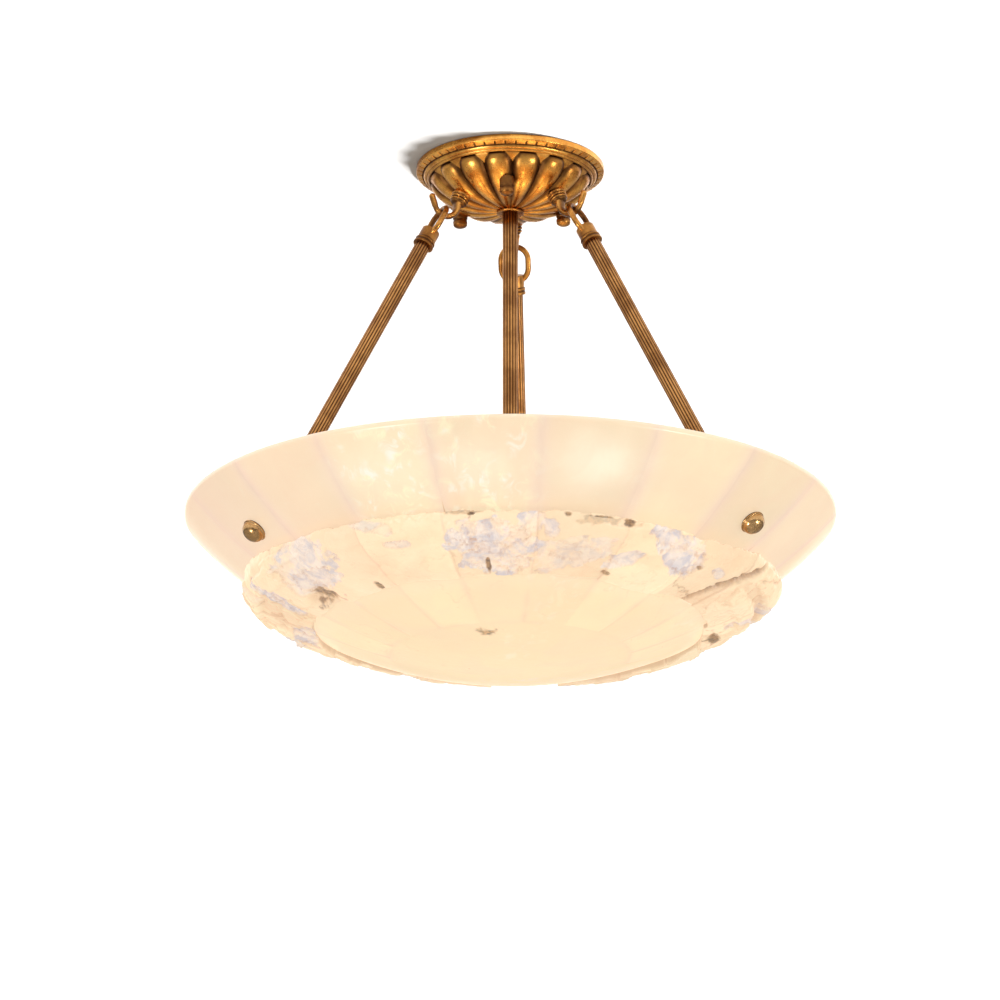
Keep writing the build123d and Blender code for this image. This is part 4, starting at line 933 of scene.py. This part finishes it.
def make_canopy():
    """Cast canopy: turned rim with slits, and a shell of petals with leaf tips between them."""
    cols = petal_count * 64
    degrees_round = np.linspace(0, 360, cols, endpoint=False)
    a = np.radians(degrees_round)
    rim = [(canopy_opening, -2.4), (canopy_opening, 0.0), (canopy_radius, 0.0),
           (canopy_radius, -rim_band)]
    rim += [(canopy_radius - inset, -rim_band - depth) for inset, depth in RIM_STEPS]
    rim = np.array(softened(rim, 0.5))
    rim_rows = around(rim, a)
    # little slits cut in from the bead
    turn = degrees_round / (360.0 / slit_count)
    slit = hump(np.radians((turn - np.round(turn)) * 360.0 / slit_count) * 70.0, 0.62, 4)
    radial = hump(rim[:, 0] - (canopy_radius - 3.4), 1.5, 4) * (rim[:, 1] < -2)
    cut = radial[:, None] * slit
    rim_rows[..., 2] += cut * 1.3

    # the shell's line and the places on it
    curve = np.array(PETAL_CURVE)
    t = np.linspace(0, 1, 70)
    key = np.linspace(0, 1, len(curve))
    base_r = smoothed(np.interp(t, key, curve[:, 0]) * petal_radius, 4)
    base_z = smoothed(-np.interp(t, key, curve[:, 1]) * canopy_depth, 4)
    out = across(base_r, base_z)
    turn = (degrees_round - petal_azimuth) / (360.0 / petal_count) + 0.5
    U, T = np.meshgrid(np.abs(turn - np.round(turn)) * 2, t)     # U: 0 on a crest, 1 in a valley
    v = 1 - U
    half_pitch = pi * base_r[:, None] / petal_count
    # blades that are round across, with round top ends
    width, height, sink = (np.interp(t, *table)[:, None]
                           for table in (PETAL_WIDTH, PETAL_HEIGHT, PETAL_SINK))
    lobes = np.clip(1 - (U / width) ** 2, 0, 1) ** 0.5 * height
    # pointed leaf tips in the gaps at the top
    tip_wide = np.clip(0.78 * (1 - T / tip_end), 0.0, 1)
    tip = np.clip(1 - v / np.maximum(tip_wide, 1e-3), 0, 1) * (T < tip_end)
    tips = np.minimum(tip * 4.0, 1.0) * 4.4 * np.clip(1 - T / 0.33, 0, 1) ** 0.5
    # thin ridge down each groove between the petals
    ridge = hump(v * half_pitch, 0.55) * 0.9 * ramp(T, 0.22, 0.36) * (1 - ramp(T, 0.80, 0.97))
    rise = np.maximum(lobes, tips) + ridge
    lift = rise - petal_sink * sink
    petals = at(base_r[:, None] + lift * out[:, :1], a, base_z[:, None] + lift * out[:, 1:2])
    foot = softened([(base_r[-1], base_z[-1] + 0.2), (9.0, -canopy_depth), (4.0, -canopy_depth)], 0.2)
    foot_rows = around(foot[1:], a)
    inner_rows = around(SHELL_INSIDE, a)

    # patina and painted shade in the rim's grooves and slits, painted shade on the petals and under the
    # rim, and painted shade inside the shell
    rim_patina_and_shade = (0.8 * hump(rim[:, 0] - (canopy_radius - 5.2), 0.55)
                + 0.9 * hump(rim[:, 0] - (canopy_radius - 10.6), 0.9))
    rim_patina_and_shade = np.clip(rim_patina_and_shade[:, None] + cut * 1.2, 0, 1)
    groove = np.clip(1 - rise / np.maximum(height, 0.4), 0, 1)
    # painted shade on the petals' flanks and in their grooves, leaving their middles bright
    petal_shade = 0.95 * ramp(U / width, 0.42, 0.92) * (1 - 0.85 * ramp(T, 0.62, 0.95))
    petal_shade += groove * 0.4 * (1 - ramp(T, 0.7, 1.0))
    # painted shadow under the rim
    petal_shade += (1 - ramp(T, 0.04, 0.34)) * 0.78
    petal_shade = np.clip(petal_shade, 0, 0.96) * (1 - ramp(tips - lobes, 0.1, 0.7))
    petal_shade *= 1 - 0.3 * ramp(T, 0.3, 0.5)
    obj = skin(np.concatenate([rim_rows, petals, foot_rows, inner_rows], 0), "canopy",
               closed=True, flip=True, sharp=60)
    paint(obj, "patina_and_shade", np.concatenate([
        rim_patina_and_shade, petal_shade, np.full(foot_rows.shape[:2], 0.3),
        np.full(inner_rows.shape[:2], 0.5)], 0))
    return dress(obj, "mount", brass_canopy, "antique_brass", "canopy_shell")


# ---------------------------------------------------------------- boss disc and cap nuts
def make_boss():
    top, foot = -canopy_depth, -canopy_depth - boss_thick
    profile = [(boss_bore, top), (boss_radius - 0.8, top), (boss_radius, top - 0.6),
               (boss_radius, foot + 0.6), (boss_radius - 0.8, foot), (boss_bore, foot)]
    obj = skin(lathe(softened(profile, 0.5)), "boss", closed=True, sharp=50)
    dress(obj, "mount", brass_bright, "antique_brass", "boss_disc")


def make_cap_nut(azimuth, number):
    """Turned nut with two grooves and a domed end."""
    top = nut_seat - nut_gap
    low = top - nut_length
    profile = softened([
        (on_axis, top), (nut_radius, top), (nut_radius, nut_seat - 7.6),
        (nut_radius - 0.5, nut_seat - 8.2), (nut_radius - 0.5, nut_seat - 9.2),
        (nut_radius - 0.1, nut_seat - 9.8), (nut_radius - 0.2, low + nut_dome)], 0.4)
    profile += [((nut_radius - 0.2) * cos(q), low + nut_dome * (1 - sin(q)))
                for q in np.linspace(0.12, pi / 2 - 0.02, 12)]
    # painted shade: the nut's sides darker than its domed end
    patina_and_shade = [0.85 if height > low + nut_dome + 0.5 else 0.15 for _, height in profile]
    obj = spun(f"cap_nut_piece_{number}", profile, 72, turned(azimuth, nut_frame), 50, patina_and_shade,
               flip=True)
    dress(obj, f"cap_nut_{number}", brass_bright, "antique_brass", f"cap_nut_{number}")


canopy = make_canopy()
make_boss()
for number, azimuth in enumerate(nut_azimuths, 1):
    make_cap_nut(azimuth, number)


# ---------------------------------------------------------------- rods, stem, caps, rings
def reeded(low, high, matrix, name):
    """Reeded rod along a frame's Z, with patina and painted shade between its reeds."""
    a = np.linspace(0, 2 * pi, reed_count * 12, endpoint=False)
    swell = np.abs(np.sin(a * reed_count / 2))
    r = rod_radius - reed_depth + reed_depth * swell**0.55
    heights = np.linspace(low, high, 24)[:, None]
    rows = np.broadcast_arrays(r * np.cos(a), r * np.sin(a), heights)
    obj = skin(moved(np.stack(rows, -1), matrix), name, caps=True)
    paint(obj, "patina_and_shade", np.tile(np.clip(1.06 - swell**1.1, 0, 1), (len(heights), 1)))
    return obj


def make_rod_cap(matrix, number):
    """Turned cap on a rod's upper end, which the ring passes through."""
    profile = softened([
        (on_axis, cap_foot), (cap_rim_radius, cap_foot), (cap_rim_radius, cap_foot + 1.7),
        (cap_rim_radius - 0.6, cap_foot + 2.2), (cap_rim_radius - 0.6, cap_foot + 3.3),
        (cap_rim_radius - 0.1, cap_foot + 3.9), (cap_rim_radius - 0.3, cap_foot + 5.0),
        (cap_rim_radius - 1.0, cap_foot + 5.6), (cap_top_radius, cap_top - 0.6),
        (cap_top_radius - 0.5, cap_top), (on_axis, cap_top)], 0.35)
    # patina and painted shade in the grooves below the cap's rim
    patina_and_shade = [0.9 if cap_rim_radius - radius > 0.4 and height < cap_foot + 5.8 else 0.38
            for radius, height in profile]
    cap = spun(f"rod_cap_piece_{number}", profile, 96, matrix, 50, patina_and_shade)
    dress(cap, "bowl", brass_bright, "antique_brass", f"rod_cap_{number}")


def make_ring(matrix, number):
    """Oval ring of round wire: two half circles and the straights between them."""
    middle = ring_foot + ring_length / 2
    path = np.array([
        (ring_bend * cos(q), middle + end * ring_straight / 2 + ring_bend * sin(q))
        for end, start in ((1, 0.0), (-1, pi)) for q in np.linspace(start, start + pi, 32)])
    forward = np.roll(path, -1, 0) - np.roll(path, 1, 0)
    forward /= np.linalg.norm(forward, axis=1)[:, None]
    w = np.linspace(0, 2 * pi, 24, endpoint=False)
    outward = ring_wire * np.cos(w)
    rows = np.broadcast_arrays(
        ring_wire * np.sin(w), path[:, :1] + outward * forward[:, 1:],
        path[:, 1:] - outward * forward[:, :1])
    ring = skin(moved(np.stack(rows, -1), matrix), f"ring_piece_{number}", closed=True)
    # patina and painted shade on the wire's inner side
    paint(ring, "patina_and_shade", np.tile(0.75 * ((1 - np.cos(w)) / 2) ** 1.5, (len(path), 1)))
    dress(ring, f"ring_{number}", brass_bright, "antique_brass", f"ring_{number}")


for number, azimuth in enumerate(arm_azimuths, 1):
    arm = turned(azimuth, rod_frame)
    rod = reeded(rod_foot, cap_foot + rod_in_cap, arm, f"rod_piece_{number}")
    dress(rod, "bowl", brass_rod, "antique_brass", f"rod_{number}")
    make_rod_cap(arm, number)
    make_ring(arm, number)
stem = reeded(cup_top, -canopy_depth - boss_thick, plain_frame, "stem_piece")
dress(stem, "mount", brass_rod, "antique_brass", "centre_stem")


# ---------------------------------------------------------------- hooks
def make_hook(azimuth, number):
    """Ribbed collar that leans inwards, and a strap that bends round under the ring."""
    sine, cosine = sin(radians(collar_tilt)), cos(radians(collar_tilt))
    down = (sine, -cosine)
    strap_top = (hook_circle - hook_bend, hook_level + 1.5)
    base = ahead(strap_top, down, -collar_length - 1.0)
    profile = [(on_axis, -3.0), (collar_radius - 1.2, -3.0), (collar_radius - 1.2, 0.2)]
    for height, inset in ((1.2, 0.0), (3.8, 0.3), (6.3, 0.6)):
        rib = collar_radius - inset - 0.9
        profile += [(rib, height - 1.2)]
        profile += [(rib + 0.9 * cos(q), height + 0.95 * sin(q))
                    for q in np.linspace(-pi / 2, pi / 2, 7)]
        profile += [(rib - 0.1, height + 1.2)]
    profile += [(collar_radius - 1.9, collar_length - 0.3),
                (collar_radius - 2.6, collar_length + 0.4), (on_axis, collar_length + 0.6)]
    # patina and painted shade between the collar's ribs and on its core
    patina_and_shade = [0.85 if radius < collar_radius - 1.0 else 0.0 for radius, _ in profile]
    collar_frame = frame_of(base, (cosine, sine), down)
    collar = spun(f"hook_collar_{number}", profile, 72, turned(azimuth, collar_frame), 60, patina_and_shade)
    dress(collar, "mount", brass_bright, "antique_brass", f"hook_{number}")

    # strap, bend and tip: place, direction, half width and half thickness
    rows = [(ahead(base, down, reach), down, wide, thick)
            for reach, wide, thick in ((collar_length - 1.6, 5.4, 3.1), (collar_length + 0.2, 5.0, 2.8))]
    for share in np.linspace(0, 1, 26):
        q = radians(180 + 160 * share)
        place = (hook_circle + hook_bend * cos(q), hook_level + hook_bend * sin(q))
        wide = (strap_wide + (2 * hook_tip - strap_wide) * share**0.72) / 2
        rows.append((place, (-sin(q), cos(q)), wide, (4.9 - 1.3 * share) / 2))
    place, way = rows[-1][:2]
    rows += [(ahead(place, way, hook_tip_length * k), way, hook_tip, hook_tip)
             for k in np.linspace(0.15, 1, 6)]
    place = rows[-1][0]
    rows += [(ahead(place, way, hook_tip * sin(q)), way, hook_tip * cos(q), hook_tip * cos(q))
             for q in np.linspace(0.2, pi / 2 - 0.05, 6)]
    w = np.linspace(0, 2 * pi, 36, endpoint=False)
    flat, deep = (np.sign(part) * np.abs(part) ** 0.8 for part in (np.cos(w), np.sin(w)))
    pts = [np.stack([place[0] + thick * deep * way[1], wide * flat,
                     place[1] - thick * deep * way[0]], -1) for place, way, wide, thick in rows]
    strap = skin(moved(np.array(pts), turned(azimuth)), f"hook_strap_{number}", caps=True, flip=True)
    # patina and painted shade on the strap's flat faces, lighter at its edges
    flatness = np.clip(np.array([wide for _, _, wide, _ in rows]) / 4.9, 0, 1)[:, None] ** 2
    paint(strap, "patina_and_shade", 0.85 * flatness * (1 - np.abs(np.cos(w)) ** 3))
    dress(strap, "mount", brass_bright, "antique_brass")


# ---------------------------------------------------------------- knobs
def make_knob(azimuth, number):
    """Domed nut with a rounded flange."""
    profile = [(on_axis, knob_foot), (knob_flange - 0.35, knob_foot)]
    profile += [(knob_flange - 0.45 + 0.45 * cos(q), knob_foot + 0.6 + 0.6 * sin(q))
                for q in np.linspace(-pi / 2, pi / 2, 8)]
    profile += [(knob_radius + 0.2, knob_foot + 1.35), (knob_radius + 0.1, knob_foot + 1.9)]
    profile += [(knob_radius * cos(q), knob_foot + 2.1 + knob_crown * sin(q))
                for q in np.linspace(0.06, pi / 2 - 0.01, 22)]
    obj = spun(f"knob_piece_{number}", profile, 72, turned(azimuth, stud_frame), 60)
    dress(obj, f"knob_{number}", bronze, "dark_bronze", f"knob_{number}")


for number, azimuth in enumerate(arm_azimuths, 1):
    make_hook(azimuth, number)
for number, azimuth in enumerate(arm_azimuths, 1):
    make_knob(azimuth, number)

# ---------------------------------------------------------------- carried-over nodes
finishes = {
    "steel": steel, "antique_brass": brass_bright, "dark_bronze": bronze, "rubber": rubber,
    "holder_ceramic": ceramic, "terminal_plastic": terminal, "bulb_glass": lit_glass,
    "alabaster": stone_smooth, "alabaster_crust": stone_raw,
}
slot_of = {s["node"]: s["material_slot"] for s in frame["record"]["subparts"]}
for name, obj in frame["nodes"].items():
    obj.data.materials.clear()
    obj.data.materials.append(finishes[slot_of[name]])
    obj.data.polygons.foreach_set("use_smooth", np.ones(len(obj.data.polygons), bool))
    obj.data.set_sharp_from_angle(angle=radians(35))


# ---------------------------------------------------------------- stage
def stage_finish(name, albedo, emission):
    """Plain matt surface that shows only its lit face."""
    n = Nodes(bpy.data.materials.new(name))
    seen_only = n.add("ShaderNodeLightPath").outputs["Is Camera Ray"]
    front = n.add("ShaderNodeBsdfPrincipled", {
        "Base Color": (albedo, albedo, albedo), "Roughness": 0.95,
        "Emission Color": (1.0, 1.0, 1.0),
        "Emission Strength": n.math("MULTIPLY", seen_only, emission)})
    clear = n.add("ShaderNodeBsdfTransparent")
    return n.either(n.add("ShaderNodeNewGeometry").outputs["Backfacing"], front, clear)


# the ceiling is open behind the canopy, where the outlet box would be
ceiling_level = 0.4
ceiling = skin(lathe([(71.5, ceiling_level), (4400.0, ceiling_level)]), "ceiling")
ceiling.data.materials.append(stage_finish("ceiling_paint", 0.27, 0.03))
# floor, in metres
floor_half, floor_level = 26.0, -2.4
floor_mesh = bpy.data.meshes.new("floor")
floor_mesh.from_pydata(
    [(x * floor_half, y * floor_half, floor_level) for x, y in ((-1, -1), (1, -1), (1, 1), (-1, 1))],
    [], [(0, 1, 2, 3)])
floor_mesh.materials.append(stage_finish("floor_paint", 0.5, 0.62))
linked("floor", floor_mesh)

# world: white behind everything, and a dim light that is brighter overhead, which only the
# top of the ceiling plate sees
sky = Nodes(bpy.data.worlds.new("studio"), "ShaderNodeOutputWorld")
bpy.context.scene.world = sky.owner
way_up = sky.add("ShaderNodeSeparateXYZ", {0: sky.add("ShaderNodeTexCoord").outputs["Generated"]})
overhead = sky.step(way_up.outputs["Z"], 0.15, 0.4, 0.08, 0.9, kind="LINEAR")
light = sky.add("ShaderNodeBackground", {0: (1.0, 0.98, 0.95), 1: overhead})
seen = sky.add("ShaderNodeBackground", {0: (1.0, 1.0, 1.0), 1: 1.0})
sky.either(sky.add("ShaderNodeLightPath").outputs["Is Camera Ray"], light, seen)


def lamp(name, kind, place, aim, energy, size, colour=(1, 1, 1)):
    """Light at a place that points at an aim; size is in metres, or in degrees for a sun."""
    data = bpy.data.lights.new(name, kind)
    data.energy = energy
    data.color = colour
    if kind == "AREA":
        data.shape = "RECTANGLE"
        data.size = size
        data.size_y = size * 0.7
    elif kind == "SUN":
        data.angle = radians(size)
    else:
        data.shadow_soft_size = size
    obj = linked(name, data)
    obj.location = place
    obj.rotation_euler = (Vector(aim) - Vector(place)).to_track_quat("-Z", "Y").to_euler()
    obj.visible_camera = False
    return obj


def only(name, obj):
    """Collection that holds one object, for a light's links."""
    group = bpy.data.collections.new(name)
    bpy.context.scene.collection.children.link(group)
    group.objects.link(obj)
    return group


middle = (0, 0, -0.15)
lamp("softbox_left", "AREA", (-1.5, -1.7, -1.5), middle, 21, 0.36, (1.0, 0.98, 0.95))
lamp("softbox_right", "AREA", (1.7, -1.0, -1.0), middle, 13, 0.28, (1.0, 0.97, 0.93))
# the sun lights the ceiling alone, and only the canopy shades it
sun = lamp("ceiling_wash", "SUN", (1.28, 0.96, -1.0), (0, 0, 0), 21.0, 13.0)
sun.light_linking.receiver_collection = only("washed_by_sun", ceiling)
sun.light_linking.blocker_collection = only("shades_the_ceiling", canopy)
bulb_circle, bulb_level = 0.0836, -0.290
for azimuth in lamp_azimuths:
    a = radians(azimuth)
    lamp(f"bulb_light_{azimuth}", "POINT", (bulb_circle * sin(a), -bulb_circle * cos(a), bulb_level),
         (0, 0, -0.4), 0.06, 0.02, (1.0, 0.82, 0.58))

# ---------------------------------------------------------------- camera
camera_turn = radians(3.2)
camera_tilt = 17.29
camera_far = 3.5
camera_level = -1.3622
side_step = 0.008
camera_data = bpy.data.cameras.new("camera")
camera_data.lens = 171.8
camera_data.sensor_width = 36.0
camera_data.clip_end = 60.0
camera = linked("camera", camera_data)
camera.location = (
    camera_far * sin(camera_turn) - side_step * cos(camera_turn),
    -camera_far * cos(camera_turn) - side_step * sin(camera_turn),
    camera_level,
)
camera.rotation_euler = (radians(90 + camera_tilt), 0, camera_turn)
bpy.context.scene.camera = camera
bpy.context.scene.view_settings.view_transform = "Standard"
